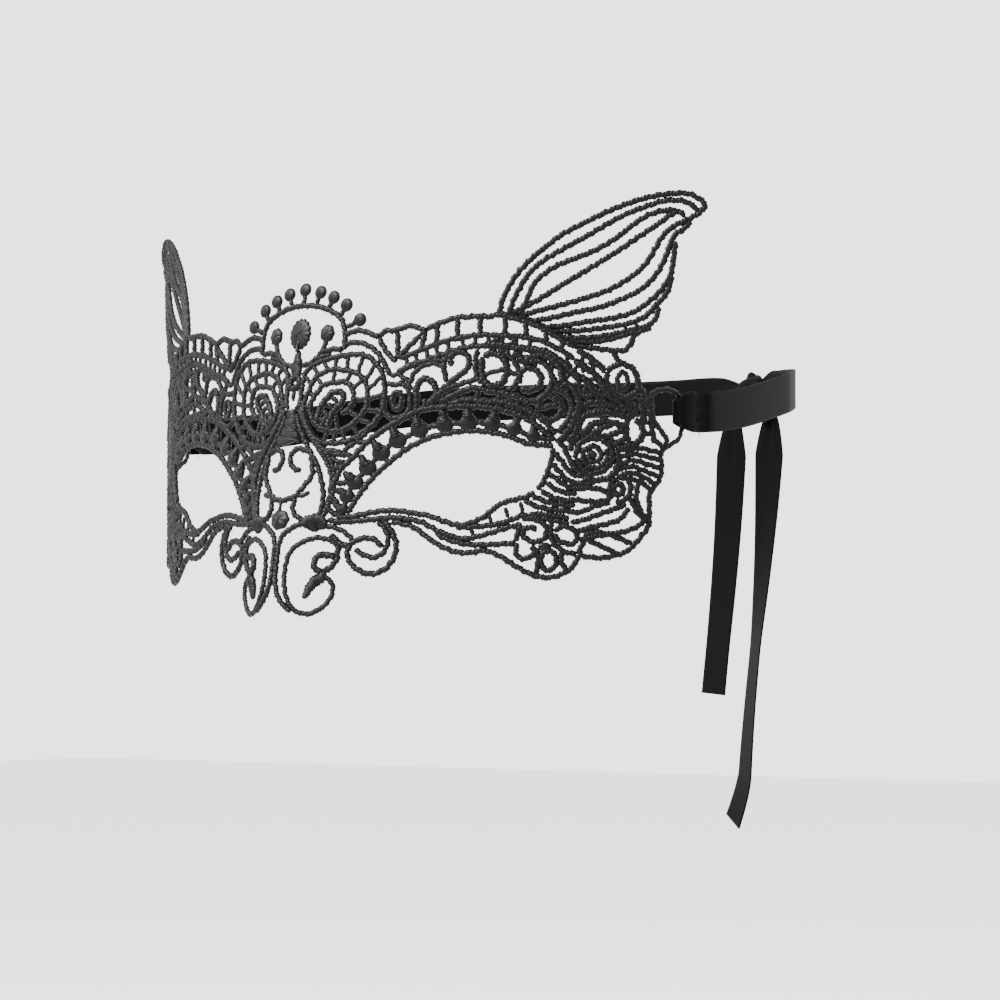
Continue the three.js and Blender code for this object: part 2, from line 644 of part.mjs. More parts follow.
// Cross sections for band along a line, the ribbon standing upright on it.
function upright(line, widthAt) {
  return line.map((at, i) => {
    const along = (line[i + 1] ?? at).clone().sub(line[i - 1] ?? at);
    const out = new THREE.Vector3().crossVectors(along, up).setLength(ribbonThickness / 2);
    const across = new THREE.Vector3().crossVectors(out, along).setLength(widthAt(i) / 2);
    return { at, across, out };
  });
}

function addRibbon(side) {
  const reach = knotRadii[0] + gap;
  const end = side > 0 ? knotX + reach * 0.93 : -(knotX - reach * 0.93);
  const line = ribbonPath(end);
  const shares = [1, 0.92, 0.7];
  const gathered = shares.map((share) => share * ribbonWidth);
  const folded = Array(5).fill(foldWidth);
  const widths = [...gathered, ...folded, gathered[2], 0.95 * ribbonWidth];
  const last = line.length - 1;
  const sections = upright(line, (i) => (i === last ? 0.75 * ribbonWidth : widths[i] ?? ribbonWidth));
  if (side < 0)
    for (const section of sections) for (const v of Object.values(section)) v.x *= -1;
  const name = (side > 0 ? "left" : "right") + "_ribbon";
  add(name, closed(band(sections), side < 0), satinBlack, 0.35);
}

// Line of small stitches that closes the fold, on the outside of the ribbon.
function addStitching(side) {
  const outside = sewnStand + 0.2 + ribbonThickness / 2 + 0.35 + stitchThickness / 2;
  const line = [-0.38, 0, 0.38].map((v) => facePoint(sewnAt, ribbonLow + v * ribbonWidth, outside));
  const ahead = facePoint(sewnAt + 1, ribbonLow, outside).sub(line[1]);
  const out = new THREE.Vector3().crossVectors(ahead, up).setLength(stitchThickness / 2);
  const sections = line.map((at) => ({ at, across: ahead.clone().setLength(0.5), out }));
  for (const section of sections) section.at.x *= side;
  if (side < 0)
    for (const section of sections) {
      section.across = section.across.clone().setX(-section.across.x);
      section.out = section.out.clone().setX(-section.out.x);
    }
  const name = (side > 0 ? "left" : "right") + "_ribbon_stitching";
  add(name, closed(band(sections), side > 0), sewingBlack, 0.8);
}

function addKnot() {
  const knot = new THREE.SphereGeometry(1, 12, 8);
  knot.scale(knotRadii[0], knotRadii[1], knotRadii[2]);
  const tangent = Math.atan2(headY(knotX) - headY(knotX + 1), -1) - Math.PI;
  knot.rotateZ(tangent);
  knot.translate(knotX, headY(knotX), ribbonHigh);
  add("tie_knot", closed(knot, false), satinBlack, 0.35);
}

// A free end of the ribbon, hanging below the knot.
function addTail(name, side) {
  const drop = tailDrops[name];
  const top = new THREE.Vector3(knotX + side * tailOffset, headY(knotX), tailTop);
  const sections = Array.from({ length: 7 }, (_, i) => {
    const down = (drop * i) / 6;
    const at = new THREE.Vector3(top.x - tailSlant * down, top.y, top.z - down);
    const across = new THREE.Vector3(ribbonWidth / 2, 0, 0);
    return { at, across, out: new THREE.Vector3(0, ribbonThickness / 2, 0) };
  });
  add(name + "_tail", closed(band(sections), true), satinBlack, 0.35);
}

// ---------------------------------------------------------------- the whole mask

addCrestArch();
addCrestFlower();
addStem();
addPendant();
addPendantFlower();
addForehead();
addScallops();
addLadder();
addBrow();
addEyeRim();
addUnderEye();
addLashes();
addMedallion();
addTempleScrolls();
addFan();
addPetals();
addCheekCurls();
addNoseScroll();
addSideCurl();
addEar();
addTempleLoop();
for (const side of [1, -1]) {
  addRibbon(side);
  addStitching(side);
}
addKnot();
addTail("left", 1);
addTail("right", -1);

export default mask;
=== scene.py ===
"""Lace masquerade mask with animal ears, tied on with satin ribbon.

The lace is drawn flat in millimetres (u along the lace from its middle, v the height) and bent round
the face. Every cord is a tube of wound thread, and every filled shape is a dome of satin stitches.
"""
import math

import bpy
import numpy as np
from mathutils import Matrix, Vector

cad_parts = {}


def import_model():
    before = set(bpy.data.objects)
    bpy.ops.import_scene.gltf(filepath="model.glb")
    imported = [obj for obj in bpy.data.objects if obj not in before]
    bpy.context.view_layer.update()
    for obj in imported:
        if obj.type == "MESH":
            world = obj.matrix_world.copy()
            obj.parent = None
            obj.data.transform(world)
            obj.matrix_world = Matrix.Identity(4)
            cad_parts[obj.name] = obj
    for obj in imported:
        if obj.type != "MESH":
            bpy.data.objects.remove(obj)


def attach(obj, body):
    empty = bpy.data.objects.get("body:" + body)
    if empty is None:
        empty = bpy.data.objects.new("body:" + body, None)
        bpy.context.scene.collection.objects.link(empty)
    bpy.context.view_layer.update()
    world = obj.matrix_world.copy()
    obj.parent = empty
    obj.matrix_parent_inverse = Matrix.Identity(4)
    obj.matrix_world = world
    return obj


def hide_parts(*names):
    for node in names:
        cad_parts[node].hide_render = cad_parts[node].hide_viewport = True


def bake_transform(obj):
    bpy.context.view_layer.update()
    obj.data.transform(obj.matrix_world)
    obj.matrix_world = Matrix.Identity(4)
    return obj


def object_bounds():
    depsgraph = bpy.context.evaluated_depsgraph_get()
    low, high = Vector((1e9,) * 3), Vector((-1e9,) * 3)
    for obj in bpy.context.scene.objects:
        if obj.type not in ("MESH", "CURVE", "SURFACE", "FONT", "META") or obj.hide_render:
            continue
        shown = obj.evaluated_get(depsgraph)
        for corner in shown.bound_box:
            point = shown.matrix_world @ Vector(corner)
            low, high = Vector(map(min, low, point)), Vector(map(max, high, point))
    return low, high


MM = 0.001

# The lace's surface, as in the CAD model.
FACE_RADIUS = 125.0
FACE_SETBACK = 7.5
TEMPLE_START = 101.0
TEMPLE_RADIUS = 28.0
TEMPLE_ANGLE = math.radians(86)
RIDGE_HEIGHT = 10.7
RIDGE_HALF_WIDTH = 19.2
RIDGE_FADE = 64.3
EAR_ANGLE = math.radians(38.8)
EAR_START = (64.0, 61.4)

# Cords and stitches.
CORD = 1.8
THIN = 1.45
FLATNESS = 0.78  # a cord's thickness as a share of its width
WIND_PITCH = 1.12  # one turn of the thread wound round a cord
WIND_DEPTH = 0.135
FIBRE_DEPTH = 0.05  # the finer ridges between those turns
FIBRE_TURNS = 3
WOBBLE = 0.12  # how far a hand-guided cord strays from its line
STITCH_PITCH = 0.42  # one satin stitch of a filled shape
STITCH_DEPTH = 0.07
STEP = 0.14  # length of a tube's rings
SIDES = 10

DENSE_WIDTH = 1.5  # the short stitches that nearly close a part of the lace
GOLDEN_TURN = 2.4  # angle between one of them and the next
LOBE_DEPTH = 0.045  # how far a flower's lobes stand out, as a share of its radius
LOBE_SPREAD = 0.06  # millimetres of stitching to each degree round a flower

# Ribbon, where it passes through the loop: distances along the lace.
RIBBON_WIDTH = 12.0
RIBBON_THICKNESS = 0.35
RIBBON_STEP = 0.8  # length of a ribbon's rings
ACROSS = np.linspace(-1, 1, 13)  # a ring's points, from one edge to the other
FOLD_AT = 117.0  # the ribbon turns back here
FOLD_WIDTH = 6.5  # its width where it is bunched in the loop
FOLD_STAND = 1.9  # how far its two layers stand off the lace beside the fold
SEWN_AT = 126.0  # the line of hand stitches
SEWN_STAND = 0.8  # how far the layers stand off where they are sewn together
SEWN_END = 134.0  # the sewn-back end
SEWN_PUCKER = 0.28  # depth of the puckers at the stitches

# Ribbon, round the back of the head, which is an oval seen from above.
RIBBON_LOW = 33.0  # height of its middle at the loop
RIBBON_HIGH = 48.8  # and at the knot
HEAD_HALF_WIDTH = 91.0
HEAD_HALF_LENGTH = 94.0
HEAD_MIDDLE = 105.0
RIBBON_LANDS = math.radians(70)  # where round the oval it comes to lie on the head
KNOT_X = 36.0
KNOT_REACH = 4.5  # how far past the knot's middle each ribbon ends
GATHER_LENGTH = 11  # the last of a ribbon, gathered towards the knot
GATHER_SHARE = 0.4  # and the share of its width it loses there
GATHER_PUCKER = 0.5  # depth of the folds there

# The knot's lumps: offset along, out and up from its middle, radii, tilt and number of folds.
KNOT_LUMPS = [
    ((0, 0, 0), (8, 3.6, 5.2), 0.15, 5),
    ((0.4, 1.2, 0), (3.4, 4, 6.6), 0.25, 7),
    ((4.6, 0.2, -4.6), (6, 2.6, 3.6), -0.95, 5),
    ((-4.6, 0.2, -4.6), (6, 2.6, 3.6), 0.95, 5),
]

# The ribbon's free ends.
TAIL_TOP = 40.7
TAIL_DROPS = {"left": 134.0, "right": 92.0}
TAIL_SLANT = 0.08
TAIL_OFFSET = 7.5
TAIL_TOP_WIDTH = 0.36  # share of the ribbon's width that leaves the knot
TAIL_OPENS = 13  # distance over which it opens to the whole width
TAIL_CURL = 0.7  # depth of the folds at the knot
TAIL_CURL_FADE = 8  # distance over which those folds fade
TAIL_BEND = 4.0  # how far the longer tail turns inwards at its end
TAIL_BEND_FROM = 118  # distance down it where that begins
TAIL_BEND_OVER = 16
TWIST_AT = (0, 42, 75, 98, 134)  # distances down a tail
TWIST = (0, 25, 41, 39, 34)  # and the degrees it has turned there

# Where an ear turns on the brow, as u and v in millimetres.
EAR_HINGE = (76.5, 56.2)

# Stage and camera, in metres. A light is its name, place, size and watts.
FLOOR_HALF = 6.0
FLOOR_BELOW = 0.25
ROOM_COLOUR = (1, 0.998, 0.993, 1)
ROOM_STRENGTH = 2.9
LIGHTS_AIM = (0, 0.05, 0.02)
LIGHTS = (
    ("key", (-0.35, -1.15, 1.15), 0.45, 190),
    ("fill", (-1.2, -0.6, 0.5), 1.0, 12),
    ("rim", (1.0, 0.9, 0.9), 0.7, 20),
)
CAMERA_PLACE = (0.6834, -0.7725, -0.0342)
CAMERA_AIM = (-0.6152, 0.7874, 0.0407)
CAMERA_LENS = 126.07  # millimetres, as is the sensor
SENSOR_WIDTH = 36


# ------------ surface

def front_curve(u):
    """X, Y and turning angle of the lace's front curve at arc lengths u >= 0."""
    start = TEMPLE_START / FACE_RADIUS
    a = u / FACE_RADIUS
    x = FACE_RADIUS * np.sin(a)
    y = FACE_RADIUS * (1 - np.cos(a))
    b = np.minimum(start + (u - TEMPLE_START) / TEMPLE_RADIUS, TEMPLE_ANGLE)
    beyond = np.maximum(0, u - TEMPLE_START - TEMPLE_RADIUS * (TEMPLE_ANGLE - start))
    xb = FACE_RADIUS * math.sin(start) + TEMPLE_RADIUS * (np.sin(b) - math.sin(start))
    yb = FACE_RADIUS * (1 - math.cos(start)) + TEMPLE_RADIUS * (math.cos(start) - np.cos(b))
    past = u > TEMPLE_START
    return (
        np.where(past, xb + beyond * np.cos(b), x),
        np.where(past, yb + beyond * np.sin(b), y),
        np.where(past, b, a),
    )


def face_points(u, v, h=0.0):
    """Points of the lace at (u, v), h in front of its middle, in millimetres."""
    u, v = np.asarray(u, float), np.asarray(v, float)
    side = np.where(u < 0, -1.0, 1.0)
    x, y, a = front_curve(np.abs(u))
    ridge = RIDGE_HEIGHT * (1 - v / RIDGE_FADE) / (1 + (x / RIDGE_HALF_WIDTH) ** 2)
    return np.stack([side * (x + h * np.sin(a)), FACE_SETBACK + y - ridge - h * np.cos(a), v], -1)


def ear_points(u, v, h=0.0):
    """The same for an ear, a flat sheet that stands on the brow."""
    u, v = np.asarray(u, float), np.asarray(v, float)
    side = np.where(u < 0, -1.0, 1.0)
    base = face_points(EAR_START[0], EAR_START[1])
    along = np.abs(u) - EAR_START[0]
    x = base[0] + along * math.cos(EAR_ANGLE) + h * math.sin(EAR_ANGLE)
    y = base[1] + along * math.sin(EAR_ANGLE) - h * math.cos(EAR_ANGLE)
    return np.stack([side * x, y, v], -1)


# ------------ lines and tubes

def smooth(points, step):
    """A Catmull-Rom line through points, in even steps, and each step's distance along it."""
    p = np.array(points, float)
    closed = len(p) > 3 and np.allclose(p[0], p[-1])
    before = p[-2] if closed else 2 * p[0] - p[1]
    after = p[1] if closed else 2 * p[-1] - p[-2]
    q = np.vstack([before, p, after])
    parts = []
    for i in range(1, len(q) - 2):
        n = max(2, int(np.linalg.norm(q[i + 1] - q[i]) / step * 1.5))
        t = np.linspace(0, 1, n, endpoint=False)[:, None]
        a, b, c, d = q[i - 1], q[i], q[i + 1], q[i + 2]
        parts.append(
            0.5 * (2 * b + (c - a) * t + (2 * a - 5 * b + 4 * c - d) * t**2
                   + (3 * b - 3 * c + d - a) * t**3)
        )
    line = np.vstack(parts + [p[-1:]])
    along = np.concatenate([[0], np.cumsum(np.linalg.norm(np.diff(line, axis=0), axis=1))])
    at = np.linspace(0, along[-1], max(3, int(along[-1] / step) + 1))
    return np.stack([np.interp(at, along, line[:, k]) for k in range(line.shape[1])], 1), at


class Piece:
    """Vertices and faces of one lace motif or ribbon, in millimetres.

    place bends the flat lace: it turns u, v and a height in front into points in space.
    """

    def __init__(self, place=None):
        self.place = place
        self.vertices, self.faces, self.count = [], [], 0

    def add(self, vertices, faces):
        self.vertices.append(vertices)
        self.faces.append(np.asarray(faces) + self.count)
        self.count += len(vertices)

    def make(self, name, material):
        vertices = np.vstack(self.vertices) * MM
        mesh = bpy.data.meshes.new(name)
        mesh.from_pydata(vertices.tolist(), [], np.vstack(self.faces).tolist())
        mesh.materials.append(material)
        mesh.validate()
        mesh.shade_smooth()
        piece = bpy.data.objects.new(name, mesh)
        bpy.context.scene.collection.objects.link(piece)
        return piece


def tube_faces(rings, sides):
    """Faces of a tube of rings, with a quad fan at each end."""
    i = np.arange(rings - 1)[:, None] * sides
    k = np.arange(sides)[None, :]
    n = (k + 1) % sides
    walls = np.stack([i + k, i + n, i + sides + n, i + sides + k], -1).reshape(-1, 4)
    half = sides // 2 - 1
    j = np.arange(half)
    first = np.stack([sides - 1 - j, sides - 2 - j, j + 1, j], -1)
    last = first[:, ::-1] + (rings - 1) * sides
    return np.vstack([walls, first, last])


def own_phase(points):
    """A line's own phase, so that no two cords wobble alike."""
    return (points[0][0] * 7.3 + points[0][1] * 3.1 + points[-1][0] * 1.7) % 6.28


def between(a, b):
    """A straight line from a to b, with a point half way."""
    return [a, ((a[0] + b[0]) / 2, (a[1] + b[1]) / 2), b]


def links(piece, pairs, width):
    """Short straight cords, each between two points."""
    for a, b in pairs:
        wound(piece, between(a, b), width)


def wind(piece, cords, width=CORD):
    """Several cords of one width."""
    for line in cords:
        wound(piece, line, width)


def wind_each(piece, cords):
    """Several cords, each with its own width."""
    for line, width in cords:
        wound(piece, line, width)


def wound(piece, points, width, lift=0.0, pitch=WIND_PITCH, depth=WIND_DEPTH, lean=2.0,
          flatness=FLATNESS, sides=SIDES, step=STEP, round_ends=True):
    """A tube along points whose surface is ridged by the thread that is wound round it.

    width is one number, or one for each of the points.
    """
    line, at = smooth(points, step)
    if np.ndim(width):
        p = np.array(points, float)
        marks = np.concatenate([[0], np.cumsum(np.linalg.norm(np.diff(p, axis=0), axis=1))])
        wide = np.interp(at / at[-1] * marks[-1], marks, width)
        for _ in range(3):
            wide[1:-1] = (wide[:-2] + 2 * wide[1:-1] + wide[2:]) / 4
    else:
        wide = np.full(len(at), float(width))
    phase = own_phase(points)
    # A hand-guided cord strays from its line and varies in width, in slow waves.
    line[:, 0] += WOBBLE * np.sin(at * 2.3 + phase) * np.minimum(1, at)
    line[:, 1] += WOBBLE * np.sin(at * 1.9 + 2 * phase) * np.minimum(1, at)
    wide = wide * (1 + 0.05 * np.sin(at * 3.1 + 3 * phase))
    thick = np.minimum(wide, 3.4) * flatness
    if round_ends:
        end = np.minimum(np.minimum(at, at[-1] - at) / (0.5 * np.minimum(wide, 1.6)) + 0.02, 1)
        cap = np.sqrt(1 - (1 - end) ** 2)
        wide, thick = wide * cap, thick * cap
    centre = piece.place(line[:, 0], line[:, 1], lift)
    front = piece.place(line[:, 0], line[:, 1], lift + 0.1) - centre
    front /= np.linalg.norm(front, axis=1)[:, None]
    along = np.gradient(centre, axis=0)
    along /= np.maximum(np.linalg.norm(along, axis=1), 1e-9)[:, None]
    across = np.cross(along, front)
    across /= np.maximum(np.linalg.norm(across, axis=1), 1e-9)[:, None]
    turn = np.linspace(0, 2 * math.pi, sides, endpoint=False)
    # Each turn of the wound thread is a ridge, unevenly spaced and with finer ridges on it.
    coil = 2 * math.pi * at[:, None] / pitch - lean * turn[None, :]
    uneven = 0.8 * np.sin(at * 1.3 + phase) + 0.5 * np.sin(at * 3.7 + 2 * phase)
    deep = depth * (1 + 0.4 * np.sin(at * 2.1 + phase))
    ridge = 1 + deep[:, None] * np.cos(coil + uneven[:, None])
    ridge = ridge + FIBRE_DEPTH * np.cos(FIBRE_TURNS * coil + 2 * turn[None, :])
    sideways = (wide / 2)[:, None] * np.cos(turn) * ridge
    forwards = (thick / 2)[:, None] * np.sin(turn) * ridge
    rings = centre[:, None] + across[:, None] * sideways[..., None]
    rings = rings + front[:, None] * forwards[..., None]
    piece.add(rings.reshape(-1, 3), tube_faces(len(at), sides))


def bead(piece, centre, radii, turn=90.0, lobes=0, thick=2.0, rings=26, sides=40):
    """A round filled shape: a dome of satin stitches whose threads run at the angle turn."""
    a = np.linspace(0, 2 * math.pi, sides, endpoint=False)
    edge = 1 + (LOBE_DEPTH * np.cos(lobes * a) if lobes else 0 * a)
    tilt = math.radians(turn)
    out = np.linspace(0, math.pi, rings)
    reach, height = np.sin(out), np.cos(out)
    u = centre[0] + radii[0] * (reach[:, None] * edge * np.cos(a))
    v = centre[1] + radii[1] * (reach[:, None] * edge * np.sin(a))
    rise = (thick / 2) * np.sign(height) * np.abs(height) ** 0.75
    across = (u - centre[0]) * math.sin(tilt) - (v - centre[1]) * math.cos(tilt)
    if lobes:
        across = np.degrees(np.broadcast_to(a, u.shape)) * LOBE_SPREAD
    grain = STITCH_DEPTH * np.cos(2 * math.pi * across / STITCH_PITCH)
    h = rise[:, None] + grain * np.sign(height)[:, None]
    points = np.stack([piece.place(u[i], v[i], h[i]) for i in range(rings)])
    piece.add(points.reshape(-1, 3), tube_faces(rings, sides))


def ring(piece, centre, radii, width):
    """A closed cord round an oval."""
    a = np.linspace(0, 2 * math.pi, 13)
    points = np.stack([centre[0] + radii[0] * np.cos(a), centre[1] + radii[1] * np.sin(a)], 1)
    points[-1] = points[0]
    wound(piece, points, width, round_ends=False)


def mirrored(side, points):
    """The same line on the other side of the middle when side is -1."""
    return [(side * u, v) for u, v in points]


# ------------ centre motifs

def crest(piece):
    half = [(0, 65.6), (4, 65.3), (8, 64.4), (12, 62.7), (14.7, 60.5), (16, 57), (16.2, 52.5)]
    wound(piece, mirrored(-1, half)[::-1] + half[1:], CORD)
    stands = [((0, 70.4), (0, 66.2)), ((6.1, 69.3), (4.8, 66)), ((11.2, 67.5), (9.6, 64.4)),
              ((16, 65), (14.3, 61.7)), ((20.9, 60.4), (16.5, 58.2))]
    for centre, foot in stands:
        for side in (1, -1) if centre[0] else (1,):
            c, f = mirrored(side, (centre, foot))
            wound(piece, between(f, c), [1.7, 1.5, 2.4], pitch=0.6)
            lean = math.degrees(math.atan2(c[1] - f[1], c[0] - f[0]))
            bead(piece, c, (2.05, 2.05), turn=lean)


def crest_flower(piece):
    bead(piece, (0, 57), (3.9, 4.7), lobes=15, thick=2.1, sides=90)
    wound(piece, [(0.2, 60.4), (0.1, 57), (0, 54), (0, 51.6)], [0.6, 0.9, 1.2, 1.6], lift=0.7)


def crest_bud(piece):
    bead(piece, (10, 56.8), (2.4, 2.7), lobes=7, thick=2)
    wound(piece, [(9.8, 55), (9.3, 52.8), (8.3, 51), (6, 48.8), (3.8, 47.8), (1.8, 47.4)], 1.7)
    wound(piece, [(8, 51.2), (12, 51.9), (16, 51.9)], 1.8)
    wound(piece, [(6.2, 49), (9, 49.9), (12, 50.6)], 1.6)


def centre_stem(piece):
    wound(piece, [(0, 52.4), (0, 49.5), (0, 47), (0, 44.4)], [1.2, 3, 4.6, 3.4],
          pitch=STITCH_PITCH, depth=0.05, lean=0.5, flatness=0.6, sides=18, step=0.1)
    ring(piece, (0, 42.4), (1.7, 1.7), 2.2)
    wound(piece, [(0, 40.6), (0, 38.9), (0, 36.8)], [0.8, 1.6, 0.8])
    wound(piece, [(0, 34.8), (0, 32.5), (0, 29.5), (0, 26.8), (0, 24.2)], [1.6, 3.6, 4.8, 7, 9.2],
          pitch=STITCH_PITCH, depth=0.05, lean=0, flatness=0.5, sides=22, step=0.1)
    for side in (1, -1):
        edge = [(3.1, 44.5), (2.8, 41.5), (2.7, 38.5), (2.4, 36), (1.2, 34.5)]
        wound(piece, mirrored(side, edge), THIN)


def pendant(piece):
    sides = [
        ([(2, 33), (3.5, 29), (5.5, 25.5), (8, 21.5), (10.5, 17.5), (12, 13), (12.9, 9), (12.5, 4.5),
          (11, 1)], CORD),
        ([(2.6, 34.6), (5, 30.5), (7.5, 26.5), (10.5, 22.5), (13.5, 18), (15, 13.5), (14.9, 9),
          (13.8, 4.5), (12.5, 1)], CORD),
        ([(7.7, 21.4), (6.2, 22.2), (4.6, 22.7), (2.4, 22), (1.5, 20.2), (1.9, 18.2), (3.4, 16.8),
          (5.5, 16.2)], 1.8),
        ([(8.2, 21), (8.8, 18), (9.2, 15.5), (8.5, 13.5), (6.5, 11), (5, 9)], CORD),
        ([(4.6, 8.6), (7, 9), (9, 9.7)], THIN),
        ([(4.6, 8.6), (4.2, 5), (5.5, 2.8), (8, 1.5), (11, 1)], CORD),
    ]
    for line, width in sides:
        for side in (1, -1):
            wound(piece, mirrored(side, line), width)
    wound(piece, [(-5, 9), (-2.6, 7.9), (0, 7.5), (2.6, 7.9), (5, 9)], CORD)


def pendant_flower(piece):
    bead(piece, (0, 1.8), (3.4, 3), lobes=7, thick=1.9, sides=56)
    wound(piece, [(0, 7.4), (0, 4.6), (0.1, 1)], 1.1, lift=0.4)


def pendant_knot(piece):
    wound(piece, [(7.6, 0.2), (9.2, 0.8), (11.2, 0.9), (13, 0.6), (14.6, -0.1)], [2.4, 4.4, 5.4, 4.4, 2.2],
          pitch=0.5, depth=0.07, lean=0.2, flatness=0.55, sides=18, step=0.1)


# ------------ motifs beside the nose

def nose_scroll(piece):
    cords = [
        ([(9, 0.4), (6.6, 0.3), (4.4, -0.9), (2.2, -2.4), (0.9, -5.2), (0.7, -9), (0.7, -13), (1.1, -17),
          (2.3, -20.4), (4.4, -23.2), (6.6, -25.2)], 1.8),
        ([(17.9, -6), (16.6, -4.9), (14.6, -4), (11.6, -3.7), (7.8, -5.1), (5, -7.6), (4, -11),
          (3.8, -14.6), (4.3, -18.4), (5.4, -21.6), (7.4, -24.6), (10.1, -25.8), (12.4, -25.6),
          (15.2, -23.6), (16.9, -20.9), (17.3, -18.2), (16, -15.8), (14.2, -14.9)], 1.7),
        ([(17.9, -5.8), (18, -8.2), (17.6, -10.6), (16, -12.6), (14.2, -13.7)], 2),
        ([(14.4, -13.8), (12.4, -12.8), (11.8, -11), (12.6, -9.2), (14.4, -8.6), (16.2, -9),
          (17.2, -9.8)], 2.1),
        ([(15.7, -2.6), (17.4, -4.4), (18.8, -5.6), (21.2, -6.3)], 2.1),
        ([(14.2, -0.3), (16.6, -0.7), (18.8, -1.6), (21, -3.2), (22.1, -5)], 1.7),
    ]
    wind_each(piece, cords)
    wound(piece, [(15, -13.6), (14, -15.1), (12.3, -16.6), (11, -18.6),
                  (10, -21.4)], [2.2, 3.6, 3.5, 2.9, 1.9],
          pitch=0.6, depth=0.09, flatness=0.6, sides=16, step=0.1)


def side_curl(piece):
    cords = [
        ([(30.4, 1.6), (32.3, -0.6), (33.8, -3), (34.7, -6.2), (33.9, -10), (31.4, -13), (27.6, -14.3),
          (24, -13.2), (21.4, -10.6), (20.7, -7.6), (21.8, -5.4), (24.1, -4.1), (27.1, -3.9), (29.2, -5),
          (30.5, -6.8)], 1.9),
        ([(29, 1), (31, -1), (32.2, -3.4), (32, -6.1), (30.5, -8.5), (27.9, -9.5), (25.2, -8.6),
          (22.6, -7.2)], 1.8),
    ]
    wind_each(piece, cords)


# ------------ motifs round the eye

def eye_rim(piece):
    rim = [(20.3, 3.6), (22.5, 7.7), (25, 11.2), (28, 14.7), (31.5, 17.8), (35, 20.6), (38, 22.5),
           (41.5, 24.2), (45, 25.5), (50, 26.5), (55, 27), (60, 26.8), (65, 25.9), (69, 24.6), (72, 23.3),
           (76, 22.8), (80, 22.6)]
    through_beads = [(17.6, 2), (19.2, 5.6), (19.7, 8.4), (20.8, 11.1), (23.9, 15), (27.7, 19.1),
                     (31.6, 22.9), (37.4, 25.8), (43.7, 28.2), (51.6, 29.2), (59, 29.4), (66, 28.2),
                     (71, 26.4), (75.6, 24.8), (80, 24.4)]
    top = [(14.6, 9.7), (16.2, 13.6), (17.6, 16.6), (20.9, 19.8), (24.7, 23.9), (30.8, 28.3), (37.9, 32),
           (43, 33.7), (48.1, 34), (54.9, 34.3), (62.9, 33.5), (69.6, 31.6), (73.9, 29.3), (76.9, 27),
           (80.2, 24.2)]
    inner = [(10.9, 23.3), (13.9, 19.6), (15.4, 15.7), (15.8, 11.2), (14.9, 6.7), (13.6, 2.6)]
    wind_each(piece, ((rim, 1.9), (through_beads, 1.8), (top, 2), (inner, 1.8)))
    beads = [((18.6, 4.6), 1.6, (15.4, 7)), ((19.8, 8.4), 2, (16.8, 10.8)), ((22, 12.4), 2.2, (18.1, 15.6)),
             ((25.5, 16.7), 2.4, (22.8, 20.4)), ((29.4, 21), 2.5, (26.4, 24.8)), ((34.3, 24.6),
                                                                                  2.5, (32, 28.8)),
             ((40.8, 27.6), 2.5, (39.2, 32)), ((48.3, 28.9), 2.4, (47.3, 33.6)), ((55.3, 29.3),
                                                                                  2.4, (55, 34)),
             ((62.3, 28.9), 2.3, (63.2, 33)), ((68.6, 27.5), 2.1, (70, 31.2)), ((74.1, 25.4),
                                                                                1.9, (74.2, 28.8))]
    rim_line = smooth(rim, 0.5)[0]
    for centre, radius, top_point in beads:
        bead(piece, centre, (radius * 1.12, radius), turn=84, thick=2.2)
        widths = [radius * 1.8, radius * 1.25, 1.5]
        wound(piece, between(centre, top_point), widths, pitch=0.6)
        from_rim = np.hypot(rim_line[:, 0] - centre[0], rim_line[:, 1] - centre[1])
        links(piece, [(centre, tuple(rim_line[np.argmin(from_rim)]))], 1.6)
    links(piece, [((14.4, 4.6), (18.6, 2.2)), ((15.2, 8.6), (17.6, 6)), ((16, 10.2), (19.6, 9.2)),
                  ((15.8, 13), (17.2, 15.6)), ((15.2, 16.6), (18.6, 17.4)), ((13.9, 19.6), (18.8, 18)),
                  ((12, 22.2), (17.6, 21.4)), ((17.6, 21.4), (20.9, 19.8)), ((17.6, 21.4), (21.4, 24.6)),
                  ((21.4, 24.6), (24.7, 23.9)), ((21.4, 24.6), (25.6, 27.8)), ((16.4, 12.2), (20.4, 12.6)),
                  ((19.4, 15), (22.4, 13.6))], CORD)


def under_eye_strands(piece):
    cords = [
        [(17, 2.4), (20, 2.3), (25, 3.2), (30, 4), (35, 4), (40, 3.2), (44, 2.5), (48, 1), (53, -0.3),
         (57, 0.6), (60, 2), (62.5, 4), (65, 5.8), (68, 6.8), (72, 7.7), (74.6, 9.2)],
        [(14.5, 1.6), (18, 1), (25, 1.3), (32, 2), (37, 1.7), (42, 0.6), (46, -1.5), (50, -3.2), (54, -4.2),
         (58, -3.7), (64, -2), (68, -0.8), (71, -0.2)],
        [(46, -2.5), (50, -4.5), (55, -5.8), (60, -6), (65, -5.8), (69.5, -5.5)],
        [(33, 0.8), (36, 0.3), (40, -1), (44, -4), (48, -6.5), (52, -8), (56, -8.3), (60, -7.7), (63, -8.5),
         (66, -10), (68.5, -11.7)],
        [(52, -0.9), (56, -0.9), (62, -0.4), (66, 0.5), (70, 2), (73, 2.9)],
    ]
    wind(piece, cords)
    links(piece, [((66.3, 4.8), (66.9, 1.8)), ((70.6, 6.4), (71.2, 3)), ((61.6, 2.6), (62.2, 0.2)),
                  ((56.4, -1), (57, -3.4)), ((64.6, -0.2), (64.6, -1.8))], 1.3)


